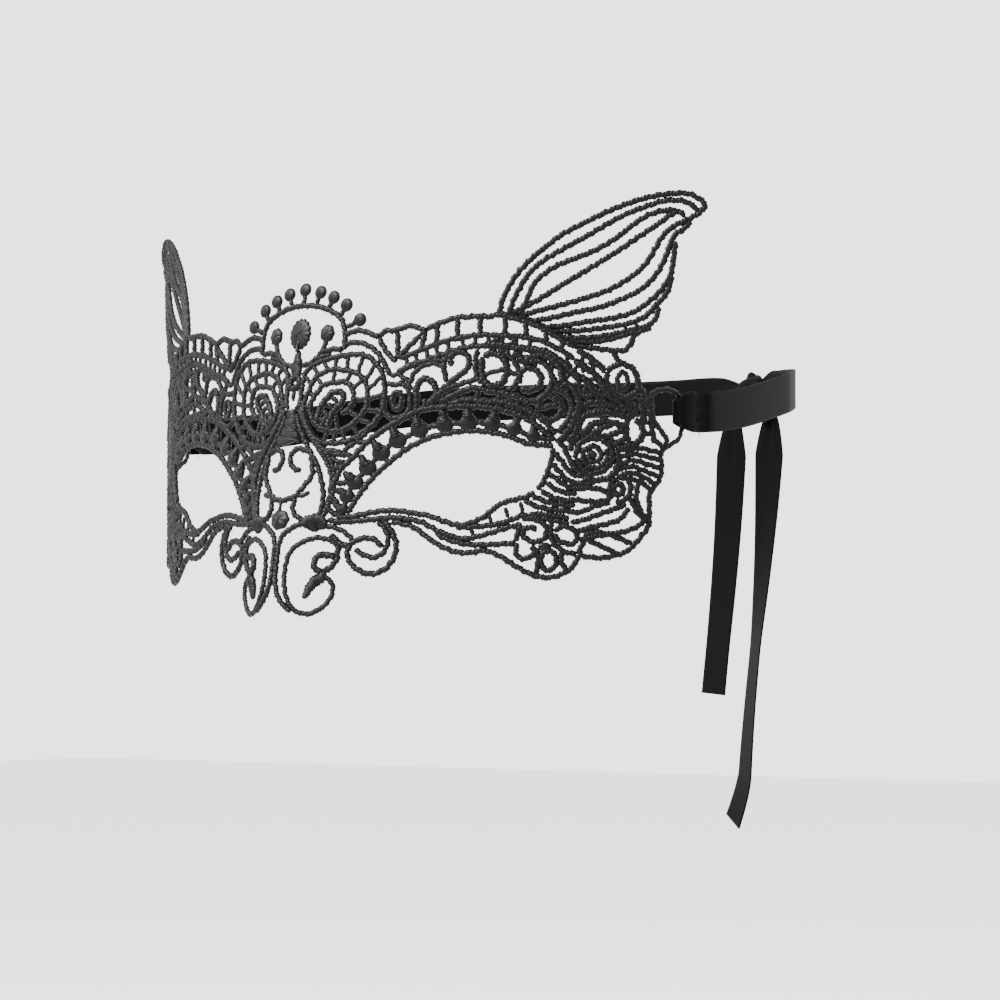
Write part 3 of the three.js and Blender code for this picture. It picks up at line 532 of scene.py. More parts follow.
def lash_ribs(piece):
    cords = [
        [(80, 22), (79.5, 19), (78.5, 15.5), (77.3, 12.5), (75.5, 9.7)],
        [(80.4, 24.4), (82.6, 22.6), (84.4, 19), (86.6, 15.6), (90.4, 13.9)],
        [(80.2, 20.6), (82.6, 17.8), (84.4, 15.2), (87, 13.9), (91, 13.8)],
        [(79.6, 17.4), (81.6, 15.2), (84, 12.7), (87.4, 11.7), (92, 11.8)],
        [(78.8, 14.6), (81.4, 12.5), (84, 10.8), (87, 10.2), (90.4, 10.4)],
        [(77.8, 12), (80.6, 10), (83.8, 8.9), (86.8, 8.6)],
        [(76.4, 9.8), (79.6, 7.7), (83.6, 6.8), (87, 6.9)],
        [(73.8, 8.2), (77.4, 6.6), (81.6, 5.6), (86.4, 5.2)],
        [(71.6, 6.8), (75.6, 4.9), (80, 4.1), (85.6, 3.6)],
        [(73, 2.9), (76.6, 2.7), (80, 2.5), (84.6, 1.6)],
    ]
    wind(piece, cords)


# ------------ forehead and brow

def forehead_spiral(piece):
    cords = [
        [(2.9, 35), (2.8, 39), (3, 43), (4, 46), (7, 47.9), (12, 49.3), (17, 50), (22, 50), (25.5, 48.5),
         (28.3, 45.5), (29.5, 42), (29.8, 38), (29.3, 34), (27, 30), (24, 27.5), (20, 25), (15.6, 24.1),
         (11, 24.5), (7.5, 27), (5, 31), (4, 35.5), (5.5, 40), (7, 43.3), (9.5, 45), (13, 46), (17, 45.5),
         (20, 44.8), (23, 43), (24.3, 40), (24.5, 36.5), (23.7, 33.5), (21, 30.5), (18, 28.3), (14, 27.8),
         (10, 29), (7.2, 31.8), (6.5, 36), (8.5, 39.5), (10.5, 41.5), (14, 42), (17.5, 42), (19.5, 40),
         (20.2, 37), (19, 34.5), (16.5, 32.5)],
        [(10.2, 23.4), (13, 21.6), (16, 20.8), (19, 20.6)],
        [(3.4, 33.6), (6.4, 28.6), (9.4, 24.6), (12, 22)],
    ]
    wind(piece, cords)
    wound(piece, [(9, 30.6), (9.4, 33.6), (10.5, 36), (13, 38.8), (15.5, 39.3), (17, 37.8), (16.5, 36),
                  (14.6, 34.2), (13.2, 31.8), (12.6, 29.4), (13.4, 28)], 2.1)
    links(piece, [((12.9, 37.8), (15.4, 36.2)), ((11.5, 35.9), (14, 34.3)), ((10.1, 33.9), (12.7, 32.3)),
                  ((9, 31.9), (11.6, 30.3))], 1.5)
    outer = [((3.4, 44.4), (6.2, 41.6)), ((6, 47.2), (8.4, 44.2)), ((9.8, 48.6), (11, 45.6)),
             ((13.6, 49.4), (13.8, 46)), ((17.8, 50), (17.4, 45.6)), ((22.6, 49.8), (21, 44.6)),
             ((26.8, 47.4), (23.8, 42.4)), ((29, 43.6), (24.6, 39.6)), ((29.7, 38.4), (24.5, 36.6)),
             ((28.9, 33.4), (23.8, 33.8)), ((26.2, 29.4), (21.8, 31.4)), ((22.2, 26.6), (19.8, 29.4)),
             ((18, 24.6), (17.2, 28.2)), ((14.8, 24.2), (15, 27.8)), ((11.8, 24.6), (12.6, 28)),
             ((4.3, 35.4), (6.6, 35)), ((5.6, 39), (7.8, 38.2)), ((8, 43.6), (9.8, 41)),
             ((13.4, 45.8), (13.4, 42)), ((18.6, 45.2), (17.8, 42)), ((23, 42.8), (19.6, 40)),
             ((24.4, 36.8), (20.2, 37)), ((21.8, 31.6), (18.6, 34)), ((15.6, 28), (14.6, 32.4)),
             ((10.4, 29), (12.4, 33)), ((7.2, 30.8), (9.4, 32.4))]
    links(piece, outer, THIN)


def top_scallops(piece):
    cords = [
        [(16.2, 56), (19, 57), (22, 57), (26, 55.5), (27.5, 54.9)],
        [(16.2, 53.4), (21, 53.6), (25.4, 51.8), (28.4, 48.8), (31.5, 43.5)],
        [(16.2, 51.6), (16.3, 54), (16.2, 56)],
        [(27.5, 54.9), (29, 52), (31, 49.5), (33.4, 47.5)],
        [(27.5, 55.2), (29.5, 56.7), (32.5, 56.8), (37.5, 58), (39.5, 57.3), (42.3, 56.6)],
        [(33.5, 48.5), (33.5, 52.4), (33.3, 56.3)],
        [(33.5, 48.5), (36.8, 51.8), (40.5, 55)],
        [(40.5, 55), (41.4, 56), (42.3, 56.7)],
    ]
    wind(piece, cords)


def ladder_band(piece):
    top = [(42.3, 56.7), (45, 58), (48, 59), (51.5, 60), (55, 60.1), (58.5, 60.3), (61, 60), (64, 60.6),
           (68, 59.6), (73, 58), (77.4, 56), (82, 53.2), (86, 51.2)]
    bottom = [(34, 48.5), (38, 49.7), (41, 50.9), (45, 52.2), (48, 53.2), (52, 54), (56, 54.6), (60, 54.8),
              (65, 54.5), (70, 54.2), (76, 53), (81, 50.6), (85.4, 48.2)]
    low = [(33.4, 44.4), (37, 45.8), (41, 47.2), (45, 48.6), (48.4, 49.6), (51.4, 50.6), (55.6, 51.4),
           (60, 51.6), (65, 51.4), (70, 51), (75, 50), (79.6, 48.2), (84, 46)]
    wind(piece, (top, bottom, low))
    rungs = [((45.6, 52.4), (45.6, 58.2)), ((51.7, 54), (51.7, 59.8)), ((58.4, 54.8), (58.4, 60.2)),
             ((65.8, 54.6), (65.8, 60)), ((71.8, 54), (71.8, 58.2)), ((77.4, 52.4), (77.8, 55.6)),
             ((82, 50.2), (82.6, 52.8)), ((40.8, 50.8), (42, 56.4))]
    links(piece, rungs, CORD)
    for u in (36.4, 39.4, 42.6, 45.6, 49, 53.4, 57, 61, 65, 69, 73):
        v, v_low = (np.interp(u, *zip(*line)) for line in (bottom, low))
        links(piece, [((u, v), (u, v_low))], 1.4)
    dense_stitches(piece, (65, 51.6), (10, 2.2), 12, 12)


def brow_scrolls(piece):
    cords = [
        ([(30, 40), (29.5, 36), (30, 33), (32, 31.2), (35, 31.3), (37.3, 33), (37.8, 36), (37, 39.5),
          (35, 41), (32, 40.8), (30.4, 41.6)], 1.7),
        ([(37.3, 40.6), (39, 44.3), (42, 46.3), (45.5, 46.7), (47.8, 44.9), (48.6, 41.3)], 1.7),
        ([(40, 35.4), (39.5, 38.6), (40.6, 41.6), (42.7, 42.3), (44.8, 40.9), (45.9, 38.2)], 2.2),
        ([(50.4, 45.9), (49.5, 47.6), (50.5, 49.3), (53.3, 49.9), (55.3, 47.7), (54.4, 44.7), (50.3, 41.6),
          (46.3, 38), (42.9, 34.7)], 2),
        ([(48.6, 41.3), (47.9, 44.7), (48.2, 47.7), (50.5, 50.2)], 1.7),
        ([(42.9, 34.2), (45.2, 36.4), (48.4, 39), (53.4, 40.8), (58.8, 42.3)], 1.8),
        ([(46.7, 35.4), (52.1, 38), (56.8, 39.5), (61.2, 38.5), (65.9, 37.7), (69.8, 36.4),
          (73.2, 34.7)], 1.9),
        ([(49.1, 34.6), (54.5, 36), (59.9, 35.4), (64.5, 35.3), (68.9, 34.2), (73.2, 32.3), (77.6, 29.4),
          (80.6, 25.6)], 2),
        ([(57.6, 50.6), (57.2, 46.6), (57.4, 43.8), (58.8, 40.6)], 1.8),
        ([(59.6, 48.2), (62.4, 49.4), (65.4, 47.9), (66.4, 44.7), (65.3, 41.2), (62.5, 39.9), (60, 41),
          (59, 44.1), (59.6, 48.2)], 2.3),
        ([(63.7, 50.9), (67.4, 48.2), (69.7, 44.7), (69.2, 41), (66.6, 38.2)], 1.8),
        ([(70, 40.4), (70.4, 43.8), (73.1, 45.1), (75.8, 43.4), (76.2, 40.8), (74.1, 38.9),
          (70.2, 38.7)], 2.1),
        ([(70.8, 46.2), (73.8, 47), (77.1, 46.4), (79.3, 43), (78.8, 39), (76.5, 36.3), (73.2, 34.9)], 2),
        ([(75.5, 32.6), (76.1, 36.3), (78.8, 37.2), (81.6, 35.2), (82.1, 32.3), (79.5, 29.7),
          (76.7, 30)], 2),
        ([(79.6, 39.4), (83.4, 37.9), (85.3, 34.3), (84, 29.7), (81, 26.2)], 2.1),
        ([(68.7, 50), (71.1, 47.2), (74.6, 48.6), (78.4, 48), (81.7, 45), (82.6, 41.2), (85.4, 39.2),
          (87.7, 35.7)], 2.3),
        ([(59.7, 52.2), (64.4, 51.8), (69.1, 50.9), (73.7, 50.4), (77.7, 49.7), (81, 47.6), (84.3, 44.8),
          (87.7, 41.5)], 2.3),
        ([(85, 39.6), (86.9, 36), (87.4, 32.4), (86.1, 29), (83.2, 26)], 2.4),
        ([(79.4, 42.4), (81.4, 40.2), (84.4, 38.2)], 2),
        ([(31.4, 43.4), (34, 43.8), (36.6, 42), (38, 39)], 1.6),
        ([(34.4, 44.2), (37, 46.4), (40.5, 47.2), (44, 47.6), (47.9, 47.6)], 1.7),
    ]
    wind_each(piece, cords)
    ring(piece, (33.7, 36.3), (1.5, 2.5), 1.7)
    dense_stitches(piece, (83, 46), (3.5, 3), 6, 7)
    dense_stitches(piece, (71.5, 49), (8, 1.6), 7, 8)
    bars = [((59.4, 43.2), (65.9, 44.9)), ((75.9, 33.3), (81.4, 34.6)), ((49.3, 41), (52, 40)),
            ((42, 32.8), (42.2, 36.6)), ((57.8, 35.6), (57.8, 39)), ((64.2, 35.4), (64.2, 37.8)),
            ((39.4, 32.6), (39.9, 36)), ((56.6, 44.8), (58.8, 43.6)), ((69.6, 43.2), (66.4, 44.2)),
            ((35.4, 41.2), (35, 44)), ((74.6, 45.2), (74.4, 47)), ((79.4, 47.8), (79.2, 44)),
            ((85.2, 44), (82.6, 41.4)), ((87.8, 41.6), (85.6, 39.4)), ((68.4, 46.8), (70.6, 47.4)),
            ((76.2, 48.8), (76.4, 50)), ((66.4, 51.6), (66.6, 49.2)), ((70.2, 48.6), (70.2, 50.8))]
    links(piece, bars, 1.6)


# ------------ temple and cheek

def spiral_line(centre, start, turns, growth, first):
    """A spiral that starts at the angle first, and grows by the same amount each turn."""
    angles = first + np.linspace(0, 2 * math.pi * turns, int(14 * turns))
    radii = start + growth * (angles - first) / (2 * math.pi)
    return [(centre[0] + r * math.cos(a), centre[1] + r * math.sin(a)) for a, r in zip(angles, radii)]


def dense_stitches(piece, centre, reach, count, seed):
    """Short crossing stitches that nearly close an oval of the lace."""
    chance = np.random.default_rng(seed)
    for i in range(count):
        turn = i * GOLDEN_TURN
        share = math.sqrt((i + 0.5) / count)
        u = centre[0] + reach[0] * share * math.cos(turn)
        v = centre[1] + reach[1] * share * math.sin(turn)
        lie, half = chance.uniform(0, math.pi), chance.uniform(1.0, 1.7)
        du, dv = half * math.cos(lie), half * math.sin(lie)
        wound(piece, [(u - du, v - dv), (u + 0.2, v + 0.2), (u + du, v + dv)], DENSE_WIDTH)


def temple_medallion(piece):
    dense_stitches(piece, (91.3, 26.2), (5, 2.2), 8, 5)
    dense_stitches(piece, (88.4, 16.4), (3.2, 3.2), 6, 6)
    wound(piece, spiral_line((91.5, 19.7), 0.7, 1.9, 1.85, first=1.2), 1.8)
    bead(piece, (91.5, 19.9), (1.1, 1.1), thick=1.6, rings=14, sides=22)
    cords = [
        [(86.4, 19.8), (87.3, 22.7), (89.1, 24.3), (92.1, 24.8), (94.6, 24), (96.4, 21.9), (96.8, 19.1),
         (95.6, 16.6), (92.8, 14.8), (89.9, 14.8), (87.7, 16.6), (86.4, 19.2)],
        [(87.8, 25), (89.9, 27.6), (92.1, 29.1), (94.6, 29.6), (97.4, 29.1), (101.2, 28.2)],
        [(88.7, 23.8), (91.6, 26.2), (93.9, 27.7), (97, 29)],
        [(95, 24.6), (97.2, 26.1), (101, 27.2)],
        [(96.8, 22.2), (98.4, 23.4), (101.1, 25)],
        [(84.6, 20.9), (85.5, 23.5), (87.4, 25.6)],
        [(97.6, 21.3), (98.6, 19.4), (98.6, 17.1), (97.4, 14.6), (95, 13), (91.6, 12.6), (88.4, 13.4)],
        [(84.8, 18.6), (85.9, 16.4), (88.2, 14.2)],
    ]
    wind(piece, cords, 2.1)
    links(piece, [((91.4, 24.6), (92.6, 26.4)), ((98.4, 21), (96.6, 20.8)), ((95.4, 23.2), (97.6, 24.6)),
                  ((97, 16.4), (98.4, 16)), ((85.4, 19.6), (87, 19.4)), ((98.8, 26.8), (98.8, 28.6))], 1.7)


def temple_scrolls(piece):
    cords = [
        ([(81.8, 23.8), (83.8, 26.4), (85.4, 29.2), (86.7, 32.6), (87.9, 35.8)], 2.4),
        ([(84, 23.4), (85.8, 25.7), (87, 28.3), (88.2, 30.8)], 2.4),
        ([(87.3, 29.8), (89.5, 31.4), (92, 32), (95, 32.5), (98.3, 31.7), (101.3, 31.1),
          (103.6, 31.2)], 2.3),
        ([(87.3, 33.6), (90.2, 34.9), (93.1, 35.3), (95.7, 34.5), (98.3, 33.3), (101.3, 32.3)], 2.2),
        ([(88, 36.2), (90.5, 37.2), (93.1, 37.4), (95.7, 36.8), (98.3, 35.4), (100.2, 34),
          (102.7, 32.4)], 2),
        ([(98, 21.5), (100.2, 22.1), (102.7, 22.8), (105.2, 24.5), (106, 27), (105.2, 29),
          (103.4, 30.2)], 2.2),
        ([(101.3, 31), (101, 28), (101, 25.4), (102.4, 22.8)], 2),
        ([(106.9, 36.6), (108.3, 34), (108.3, 31.4), (108.6, 28.6), (109.2, 25.6), (109.6, 23.4)], 1.9),
        ([(105.2, 36.6), (105.7, 32.9), (105.9, 30.6), (107.3, 28.6)], 1.8),
        ([(102.1, 35.4), (103.6, 33.2), (104.4, 31.2)], 1.7),
        ([(95.3, 44), (97.5, 45.7), (100, 46.3), (103, 44.8), (104.3, 42), (104.8, 39.5),
          (106.6, 37.4)], 2),
        ([(95.3, 44), (95.2, 41.2), (96.4, 38.6), (99, 36.6), (102, 36.8), (104.6, 38.8)], 2),
        ([(85.6, 47.4), (88.4, 45.6), (91.4, 43.6), (93.4, 41.4), (94.8, 38.6), (96.8, 36.6)], 2.2),
        ([(86.4, 50.2), (89.6, 48.6), (92.4, 46.4), (95, 44)], 2.1),
        ([(86, 43.4), (89.4, 41.2), (91.2, 38.6), (91.8, 37)], 2.2),
        ([(88.4, 39.4), (90.2, 37.4)], 1.7),
        ([(100.6, 36.8), (101.4, 34.8), (102.6, 33)], 1.8),
    ]
    wind_each(piece, cords)
    ring(piece, (99.8, 41.4), (1.5, 2.5), 1.6)
    dense_stitches(piece, (89.4, 43.6), (4, 4), 6, 9)
    bars = [((88.6, 49.4), (87.8, 45.8)), ((92, 47), (90.6, 44)), ((89.4, 41.2), (92.8, 42.2)),
            ((91.4, 37.8), (94.8, 39)), ((88.6, 33.8), (88.8, 31)), ((90, 37), (89.6, 35)), ((94, 37.2),
                                                                                             (93.8, 35.2)),
            ((97.6, 35.8), (97.2, 34)), ((107.2, 31), (105.8, 29)), ((106, 26), (109, 26.4)), ((106.4, 36),
                                                                                               (108, 36.8))]
    links(piece, bars, 1.5)


def rib_fan(piece):
    cords = [
        [(98, 21.6), (101, 21.4), (105, 22), (108, 21.4), (111.6, 20.8)],
        [(98.6, 19.2), (103.4, 20.2), (107, 19.6), (111.8, 18.6)],
        [(98.8, 17.2), (103, 18.4), (107, 17.4), (111.8, 16.3)],
        [(98.6, 15.6), (102.4, 16.6), (106, 15.6), (111, 13.8)],
        [(99, 14.2), (103, 14.7), (106.6, 13.4), (109.8, 11.6)],
        [(101.2, 13), (104.6, 12.5), (107.4, 10.8), (108.6, 8.8)],
        [(113, 22), (111.6, 20), (112, 18), (111.9, 15), (111, 12.5), (109.2, 10.5), (107.9, 8)],
        [(109.4, 24), (111, 23.6), (112.8, 22)],
    ]
    wind(piece, cords, 1.7)


def cheek_petals(piece):
    cords = [
        [(87, -9), (90, -9.5), (94, -9.8), (98, -9), (101, -8), (103.5, -5.8), (105.5, -3.5),
         (107.7, -0.5), (108, 2), (108, 5), (107.9, 8), (108.2, 9.4)],
        [(86.7, 10.6), (90, 10.4), (94, 9.8), (96.6, 8)],
        [(86, 7), (90, 6.5), (94.4, 6.6), (96.6, 8), (96.2, 11), (98, 13.3)],
        [(84.6, 3.2), (88.4, 3.6), (92, 5.2), (96.4, 6.2)],
        [(84.8, 0.4), (88.6, 1.1), (92.6, 2.6), (97, 4.1), (101, 5.7)],
        [(86.6, -2.4), (91, -0.9), (95.4, 0), (99.2, 1.4), (101.8, 4.6)],
        [(87.4, -4.8), (92, -3.6), (97, -2.8), (101.6, -1.9), (105.6, 0.2), (107.4, 3)],
        [(88.6, -3.8), (91, -2.5), (95.2, -2.8), (99, -4.2), (102.6, -5.6)],
        [(87, -8.8), (88.2, -6.2), (89.2, -3.9)],
        [(88.8, -4.2), (92, -5.6), (95.4, -7.2), (99, -8.9)],
        [(101, 8.6), (102.8, 6.2), (104.4, 3.2), (106.6, 1.4)],
        [(104.9, 12.6), (104.2, 10), (104, 7.2), (105, 4.4), (106.4, 2)],
        [(98, 13.6), (100.8, 13.2), (102.2, 11.4), (102, 8.6), (100.4, 6.8), (97.8, 6.4)],
    ]
    wind(piece, cords)
    ring(piece, (98.7, 10), (1.4, 1.5), 2)


def cheek_curls(piece):
    cords = [
        [(73, 1.5), (76, 0.8), (78, -1), (77.8, -3.5), (76, -5), (73.5, -5), (71.5, -3.5), (71.7, -1.5),
         (74, -1), (75.2, -2.2)],
        [(70, -5.5), (69.3, -7.5), (70, -9.5), (72, -10), (74, -9.2), (74.8, -7.5), (73.4, -6.6)],
        [(80.5, -2.5), (82, -1), (84.5, -1), (86.5, -2.5), (86.7, -4.8), (85, -5.8), (82.5, -5.3),
         (80.8, -4), (80.5, -2.5)],
        [(66, -10), (68.5, -11.7), (72, -13.7), (75, -15), (79, -15.5), (82.5, -14.5), (85.3, -12.7),
         (86.7, -10.5), (87, -9)],
        [(71, -0.2), (69.8, -2.6), (69.6, -5.2)],
        [(71, 1.2), (74.6, 1.8), (79, 1.2), (84.6, 0)],
        [(79.6, 0.6), (79.2, -2.2), (79.8, -5), (82.8, -7.8), (86.6, -8.8)],
        [(75, -7), (75.8, -10), (75.4, -13), (75, -15)],
        [(82.4, -8), (82.4, -11), (83.8, -13.6)],
    ]
    wind(piece, cords)
    ring(piece, (78.7, -10.6), (2.2, 2.8), CORD)
    bead(piece, (77.6, -6.6), (2, 1.3), turn=20, thick=1.7, rings=16, sides=24)


def temple_loop(piece):
    cords = [
        [(108.6, 37.2), (108.7, 33), (109.6, 30), (112, 27), (113.6, 25), (113.8, 23.6), (113, 21.6)],
        [(108, 37.5), (110, 38.5), (113, 39.2), (116.4, 38.8), (119, 37.2), (120, 34.4), (119.9, 31),
         (119.7, 27.6), (118.2, 24.8), (115.4, 23.4), (113, 21.7)],
    ]
    wind_each(piece, zip(cords, (1.7, 1.5)))


# ------------ ears

def ear(piece):
    ribs = [
        [(64, 60.6), (65, 65), (67.5, 70), (70.5, 74), (74, 77.5), (77, 80), (82, 83.8), (88, 87),
         (94, 90), (100, 92.5), (106, 94.5), (112, 95.7), (118, 96), (121, 95), (123.3, 93.3),
         (123.3, 91.5), (121.5, 90), (118.6, 88.2)],
        [(66.5, 60.2), (68, 64.5), (70, 68.5), (73, 73), (77, 76.5), (83, 80), (89, 83.3), (95, 86.8),
         (101, 90), (107, 92.3), (112, 93.8), (117, 93.8), (120, 92.5), (121.8, 90.6)],
        [(69.6, 60.4), (72, 65), (74, 69.5), (77, 72.5), (81, 75), (86, 77), (92, 79.5), (98, 83),
         (103, 87), (107, 89.5), (111, 90.8), (115, 91), (118, 89.4)],
        [(67.6, 61), (72, 63.2), (77, 66), (83, 69.8), (90, 74), (97, 78.3), (104, 83), (110, 87),
         (114, 90), (116, 90.5)],
        [(70, 60.3), (75, 61.7), (82, 63.5), (89, 65.5), (96, 68), (102, 71.5), (106, 75), (109, 79.5),
         (111, 83), (114, 86), (119, 88.7)],
        [(73, 58.7), (79, 59.7), (86, 61.3), (93, 62.8), (99, 65), (105, 68), (109.5, 72.5), (112, 77),
         (113.5, 81), (115, 84), (118, 86), (119.3, 88)],
        [(77, 57), (83, 57.5), (90, 58.7), (97, 59.7), (103, 61.5), (108, 65), (111, 68), (113.5, 72),
         (114.5, 77), (115, 82)],
        [(79, 55.7), (87, 56), (94, 56.8), (101, 58), (106, 60), (109, 63), (112.5, 67), (114, 72)],
        [(82, 54), (90, 54), (97, 55), (103, 56.5), (107, 57.5), (109.5, 60), (110, 63)],
        [(84, 53), (90, 52.7), (96, 53.5), (101, 55), (104, 56)],
        [(85, 51.7), (92, 50.8), (97, 50.3), (100, 50.3), (102, 52), (103.5, 55), (108, 57)],
        [(64, 61), (68, 60.3), (73, 59), (77, 57), (80, 55.5), (83, 53.7), (86, 52), (89, 50.8)],
        [(97, 50.2), (98, 47.8), (99.6, 46.4)],
    ]
    wind(piece, ribs)


# ------------ materials

def principled(name, colour, roughness):
    material = bpy.data.materials.new(name)
    material.use_nodes = True
    shader = material.node_tree.nodes["Principled BSDF"]
    shader.inputs["Base Color"].default_value = (*colour, 1)
    shader.inputs["Roughness"].default_value = roughness
    return material, shader


def textile(name, colour, roughness, specular, grain, strength, height):
    """A black textile with a weak highlight, and its fine fibres in the bump."""
    material, shader = principled(name, colour, roughness)
    shader.inputs["Specular IOR Level"].default_value = specular
    tree = material.node_tree
    noise = tree.nodes.new("ShaderNodeTexNoise")
    noise.inputs["Scale"].default_value = grain
    noise.inputs["Detail"].default_value = 2
    bump = tree.nodes.new("ShaderNodeBump")
    bump.inputs["Strength"].default_value = strength
    bump.inputs["Distance"].default_value = height
    tree.links.new(noise.outputs["Fac"], bump.inputs["Height"])
    tree.links.new(bump.outputs["Normal"], shader.inputs["Normal"])
    return material


def sewing_material():
    """Plain black sewing thread."""
    material, shader = principled("sewing_thread", (0.0015, 0.0015, 0.0015), 0.7)
    shader.inputs["Specular IOR Level"].default_value = 0.05
    return material


# ------------ ribbon

def head_y(x):
    return HEAD_MIDDLE + HEAD_HALF_LENGTH * math.sqrt(1 - (x / HEAD_HALF_WIDTH) ** 2)


def ribbon_height(y):
    """Height of the ribbon's middle, rising from the loop to the knot."""
    low, high = float(face_points(FOLD_AT, RIBBON_LOW)[1]), head_y(KNOT_X)
    t = min(max((y - low) / (high - low), 0), 1)
    return RIBBON_LOW + (RIBBON_HIGH - RIBBON_LOW) * t * t * (3 - 2 * t)


def ribbon_path(end):
    """The ribbon's middle line from its sewn-back end to the knot, and its width at each point."""
    near = [(SEWN_END, -SEWN_STAND, 12), (130, -SEWN_STAND, 12), (SEWN_AT, -SEWN_STAND, 11.6),
            (122, -FOLD_STAND, 9.4), (FOLD_AT + 1.8, -FOLD_STAND, FOLD_WIDTH + 0.8),
            (FOLD_AT + 0.4, -0.7 * FOLD_STAND, FOLD_WIDTH), (FOLD_AT, 0, FOLD_WIDTH),
            (FOLD_AT + 0.4, 0.7 * FOLD_STAND, FOLD_WIDTH + 0.6), (FOLD_AT + 1.8, FOLD_STAND, 10.2),
            (121, FOLD_STAND, 11.4), (123.4, 1.6, 12),
            (SEWN_AT, SEWN_STAND + 0.2, 11.7), (129, SEWN_STAND + 0.2, 12), (SEWN_END, SEWN_STAND, 12)]
    points = [(*face_points(u, RIBBON_LOW, h), w) for u, h, w in near]
    leave = face_points(SEWN_END, RIBBON_LOW, SEWN_STAND)[:2]
    landing = HEAD_HALF_WIDTH * math.sin(RIBBON_LANDS)
    bend = np.array([HEAD_HALF_WIDTH + 4, HEAD_MIDDLE])
    land = np.array([landing, head_y(landing)])
    round_head = [tuple((1 - t) ** 2 * leave + 2 * t * (1 - t) * bend + t * t * land)
                  for t in (1 / 3, 2 / 3)]
    steps = 9
    first, last = RIBBON_LANDS, math.asin(end / HEAD_HALF_WIDTH)
    for i in range(steps + 1):
        x = HEAD_HALF_WIDTH * math.sin(first + (last - first) * i / steps)
        round_head.append((x, head_y(x)))
    points += [(x, y, 0, 9 if i == len(round_head) - 1 else RIBBON_WIDTH)
               for i, (x, y) in enumerate(round_head)]
    line, at = smooth(points, RIBBON_STEP)
    line[:, 2] = [ribbon_height(y) for y in line[:, 1]]
    return line, at


def ribbon_mesh(piece, line, width, out, thickness, crease):
    """A ribbon with a rim, from its middle line, its width and its outward direction."""
    along = np.gradient(line, axis=0)
    along /= np.linalg.norm(along, axis=1)[:, None]
    across = np.cross(out, along)
    across /= np.linalg.norm(across, axis=1)[:, None]
    middle = line[:, None] + across[:, None] * (width[:, None] / 2 * ACROSS)[..., None]
    middle = middle + out[:, None] * crease[..., None]
    front = middle + out[:, None] * thickness / 2
    back = middle - out[:, None] * thickness / 2
    ring_points = np.concatenate([front, back[:, ::-1]], axis=1)
    rings, sides = ring_points.shape[:2]
    piece.add(ring_points.reshape(-1, 3), tube_faces(rings, sides))


def make_ribbon(side, material, body):
    """One ribbon, from its sewn-back end through the loop and round the head to the knot."""
    end = KNOT_X + KNOT_REACH if side > 0 else -(KNOT_X - KNOT_REACH)
    path, at = ribbon_path(end)
    line, width = path[:, :3].copy(), path[:, 3]
    along = np.gradient(line, axis=0)
    out = np.cross(along, (0, 0, 1.0))
    out /= np.linalg.norm(out, axis=1)[:, None]
    near_knot = np.clip(1 - (at[-1] - at) / GATHER_LENGTH, 0, 1) ** 1.4
    width *= 1 - GATHER_SHARE * near_knot
    near_sewing = np.exp(-((line[:, 1] - face_points(SEWN_AT, 0)[1]) / 2.2) ** 2)
    crease = near_sewing[:, None] * SEWN_PUCKER * np.cos(ACROSS[None, :] * 9)
    crease = crease + near_knot[:, None] * GATHER_PUCKER * np.cos(ACROSS[None, :] * 8)
    if side < 0:
        line[:, 0] *= -1
        out[:, 0] *= -1
    piece = Piece()
    ribbon_mesh(piece, line, width, out, RIBBON_THICKNESS, crease)
    name = "left" if side > 0 else "right"
    ribbon = piece.make(name + "_satin_ribbon", material)
    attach(ribbon, body)
    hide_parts(name + "_ribbon")


def make_tail(name, side, material):
    """A free end of ribbon: it leaves the knot gathered, and hangs with a slow twist."""
    drop = TAIL_DROPS[name]
    down = np.linspace(0, drop, int(drop / RIBBON_STEP))
    bend = TAIL_BEND * np.clip((down - TAIL_BEND_FROM) / TAIL_BEND_OVER, 0, 1) ** 1.5
    x = KNOT_X + side * TAIL_OFFSET - TAIL_SLANT * down - bend
    y = head_y(KNOT_X) + 1.4 * np.sin(down / 24)
    line = np.stack([x, y, TAIL_TOP - down], 1)
    turn = np.interp(down, TWIST_AT, TWIST)
    for _ in range(60):
        turn[1:-1] = (turn[:-2] + 2 * turn[1:-1] + turn[2:]) / 4
    twist = np.radians(turn if side > 0 else 0.4 * turn)
    out = np.stack([np.sin(twist), np.cos(twist), 0 * twist], 1)
    opened = np.minimum(down / TAIL_OPENS, 1) ** 0.7
    width = RIBBON_WIDTH * (TAIL_TOP_WIDTH + (1 - TAIL_TOP_WIDTH) * opened)
    curl = (TAIL_CURL * np.exp(-down / TAIL_CURL_FADE))[:, None] * np.cos(ACROSS[None, :] * 7)
    piece = Piece()
    ribbon_mesh(piece, line, width, out, RIBBON_THICKNESS, curl)
    tail = piece.make(name + "_satin_tail", material)
    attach(tail, name + "_tail")
    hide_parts(name + "_tail")


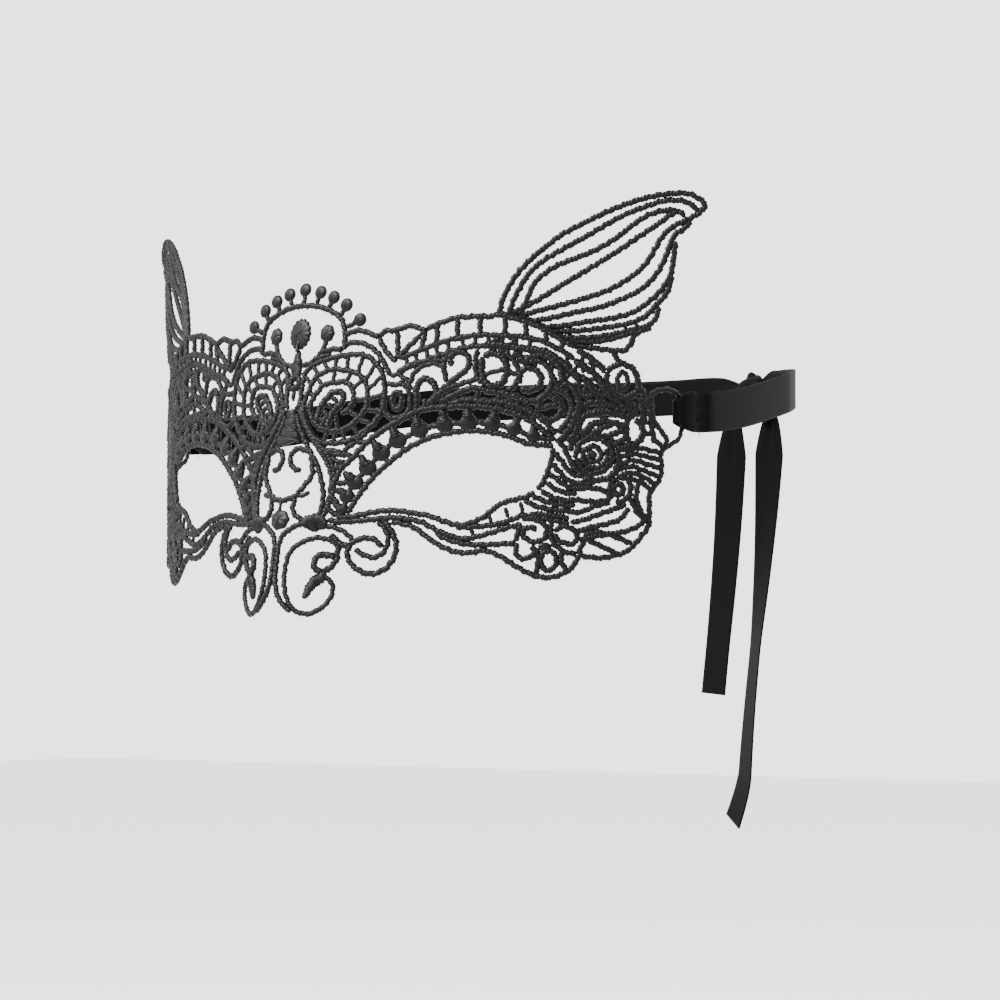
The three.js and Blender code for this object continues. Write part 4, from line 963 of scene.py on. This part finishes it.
def make_knot(material):
    """The knot of the two ribbons: a core, a band over it and the two ends leaving below."""
    piece = Piece()
    rings, sides = 28, 40
    centre = np.array([KNOT_X, head_y(KNOT_X), RIBBON_HIGH])
    slope = math.atan2(head_y(KNOT_X) - head_y(KNOT_X + 1), 1)
    along = np.array([math.cos(slope), -math.sin(slope), 0])
    out = np.array([math.sin(slope), math.cos(slope), 0])
    up = np.array([0, 0, 1.0])

    def lump(offset, radii, tilt, folds):
        a = np.linspace(0, 2 * math.pi, sides, endpoint=False)
        b = np.linspace(0.02, math.pi - 0.02, rings)
        first = math.cos(tilt) * along + math.sin(tilt) * up
        second = -math.sin(tilt) * along + math.cos(tilt) * up
        crease = 1 + 0.07 * np.cos(folds * a)[None, :] * np.sin(b)[:, None]
        points = (
            centre + offset[0] * along + offset[1] * out + offset[2] * up
            + (radii[0] * np.cos(b))[:, None, None] * first
            + (radii[1] * np.sin(b)[:, None] * np.cos(a) * crease)[..., None] * out
            + (radii[2] * np.sin(b)[:, None] * np.sin(a) * crease)[..., None] * second
        )
        piece.add(points.reshape(-1, 3), tube_faces(rings, sides))

    for measures in KNOT_LUMPS:
        lump(*measures)
    knot = piece.make("satin_knot", material)
    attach(knot, "ribbon")
    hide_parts("tie_knot")


def make_stitching(side, material):
    """Six hand stitches across the ribbon, and the loose end of their thread."""
    name = "left" if side > 0 else "right"

    def place(u, v, h=0.0):
        return face_points(side * np.asarray(u), v, np.asarray(h) + SEWN_STAND + 0.42)

    piece = Piece(place)
    fine = {"pitch": 0.3, "depth": 0.1, "sides": 6, "step": 0.1}
    first, apart = RIBBON_LOW - 4.9, 1.9
    for i in range(6):
        v = first + i * apart
        line = [(SEWN_AT - 0.35, v), (SEWN_AT, v + 0.7), (SEWN_AT + 0.3, v + 1.3)]
        wound(piece, line, 0.34, **fine)
    end = [(SEWN_AT + 0.2, first), (SEWN_AT + 0.5, RIBBON_LOW - 6.2), (SEWN_AT + 0.3, RIBBON_LOW - 7.4)]
    wound(piece, end, 0.26, **fine)
    stitches = piece.make(name + "_stitches", material)
    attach(stitches, "ribbon")
    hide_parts(name + "_ribbon_stitching")


# ------------ lace pieces

CENTRE_MOTIFS = {
    "crest_arch": crest,
    "crest_flower": crest_flower,
    "centre_stem": centre_stem,
    "nose_pendant": pendant,
    "pendant_flower": pendant_flower,
}
SIDE_MOTIFS = {
    "crest_bud": crest_bud,
    "pendant_knot": pendant_knot,
    "nose_scroll": nose_scroll,
    "side_curl": side_curl,
    "eye_rim": eye_rim,
    "under_eye_strands": under_eye_strands,
    "lash_ribs": lash_ribs,
    "forehead_spiral": forehead_spiral,
    "top_scallops": top_scallops,
    "ladder_band": ladder_band,
    "brow_scrolls": brow_scrolls,
    "temple_medallion": temple_medallion,
    "temple_scrolls": temple_scrolls,
    "rib_fan": rib_fan,
    "cheek_petals": cheek_petals,
    "cheek_curls": cheek_curls,
    "temple_loop": temple_loop,
}


def make_motif(node, draw, side, surface, body, material):
    """One motif as a piece that stands for its CAD node. side is -1 for the wearer's right."""
    piece = Piece(lambda u, v, h=0.0: surface(side * np.asarray(u, float), v, h))
    draw(piece)
    lace = piece.make(node + "_lace", material)
    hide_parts(node)
    if body:
        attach(lace, body)
    return lace


def make_lace(material):
    for node, draw in CENTRE_MOTIFS.items():
        make_motif(node, draw, 1, face_points, "mask", material)
    for name, side in (("left", 1), ("right", -1)):
        for node, draw in SIDE_MOTIFS.items():
            make_motif(name + "_" + node, draw, side, face_points, "mask", material)
        make_ear(name, side, material)


def make_ear(name, side, material):
    """An ear, on its own flat sheet that stands on the brow, with its place baked into its mesh."""
    piece = make_motif(name + "_ear", ear, side, ear_points, None, material)
    middle = ear_points(side * EAR_HINGE[0], EAR_HINGE[1]) * MM
    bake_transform(piece)


# ------------ stage

def make_stage(low):
    """A pale floor well below the mask, a pale room and soft lights."""
    mesh = bpy.data.meshes.new("floor")
    s, z = FLOOR_HALF, low - FLOOR_BELOW
    mesh.from_pydata([(-s, -s, z), (s, -s, z), (s, s, z), (-s, s, z)], [], [(0, 1, 2, 3)])
    floor = bpy.data.objects.new("floor", mesh)
    material, shader = principled("pale_floor", (0.78, 0.77, 0.75), 0.9)
    mesh.materials.append(material)
    bpy.context.scene.collection.objects.link(floor)
    world = bpy.data.worlds.new("pale_room")
    world.use_nodes = True
    world.node_tree.nodes["Background"].inputs["Color"].default_value = ROOM_COLOUR
    world.node_tree.nodes["Background"].inputs["Strength"].default_value = ROOM_STRENGTH
    bpy.context.scene.world = world
    for name, place, size, power in LIGHTS:
        data = bpy.data.lights.new(name, "AREA")
        data.size, data.energy = size, power
        light = bpy.data.objects.new(name, data)
        light.location = place
        aim = Vector(LIGHTS_AIM) - Vector(place)
        light.rotation_euler = aim.to_track_quat("-Z", "Y").to_euler()
        bpy.context.scene.collection.objects.link(light)


def make_camera():
    """The view from the wearer's front left, a little below the mask."""
    data = bpy.data.cameras.new("camera")
    data.lens, data.sensor_width = CAMERA_LENS, SENSOR_WIDTH
    camera = bpy.data.objects.new("camera", data)
    camera.location = CAMERA_PLACE
    camera.rotation_euler = Vector(CAMERA_AIM).to_track_quat("-Z", "Y").to_euler()
    bpy.context.scene.collection.objects.link(camera)
    bpy.context.scene.camera = camera


def main():
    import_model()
    cad_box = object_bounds()
    make_camera()
    thread = textile("lace_thread", (0.0012, 0.0012, 0.0012), 0.42, 0.075, 5200, 0.35, 0.00006)
    satin = textile("satin_ribbon", (0.0012, 0.0012, 0.0011), 0.5, 0.012, 2600, 0.15, 0.00005)
    sewing = sewing_material()
    make_tail("left", 1, satin)
    make_tail("right", -1, satin)
    for side in (1, -1):
        make_ribbon(side, satin, "ribbon")
        make_stitching(side, sewing)
    make_knot(satin)
    make_lace(thread)
    make_stage(cad_box[0][2])


main()
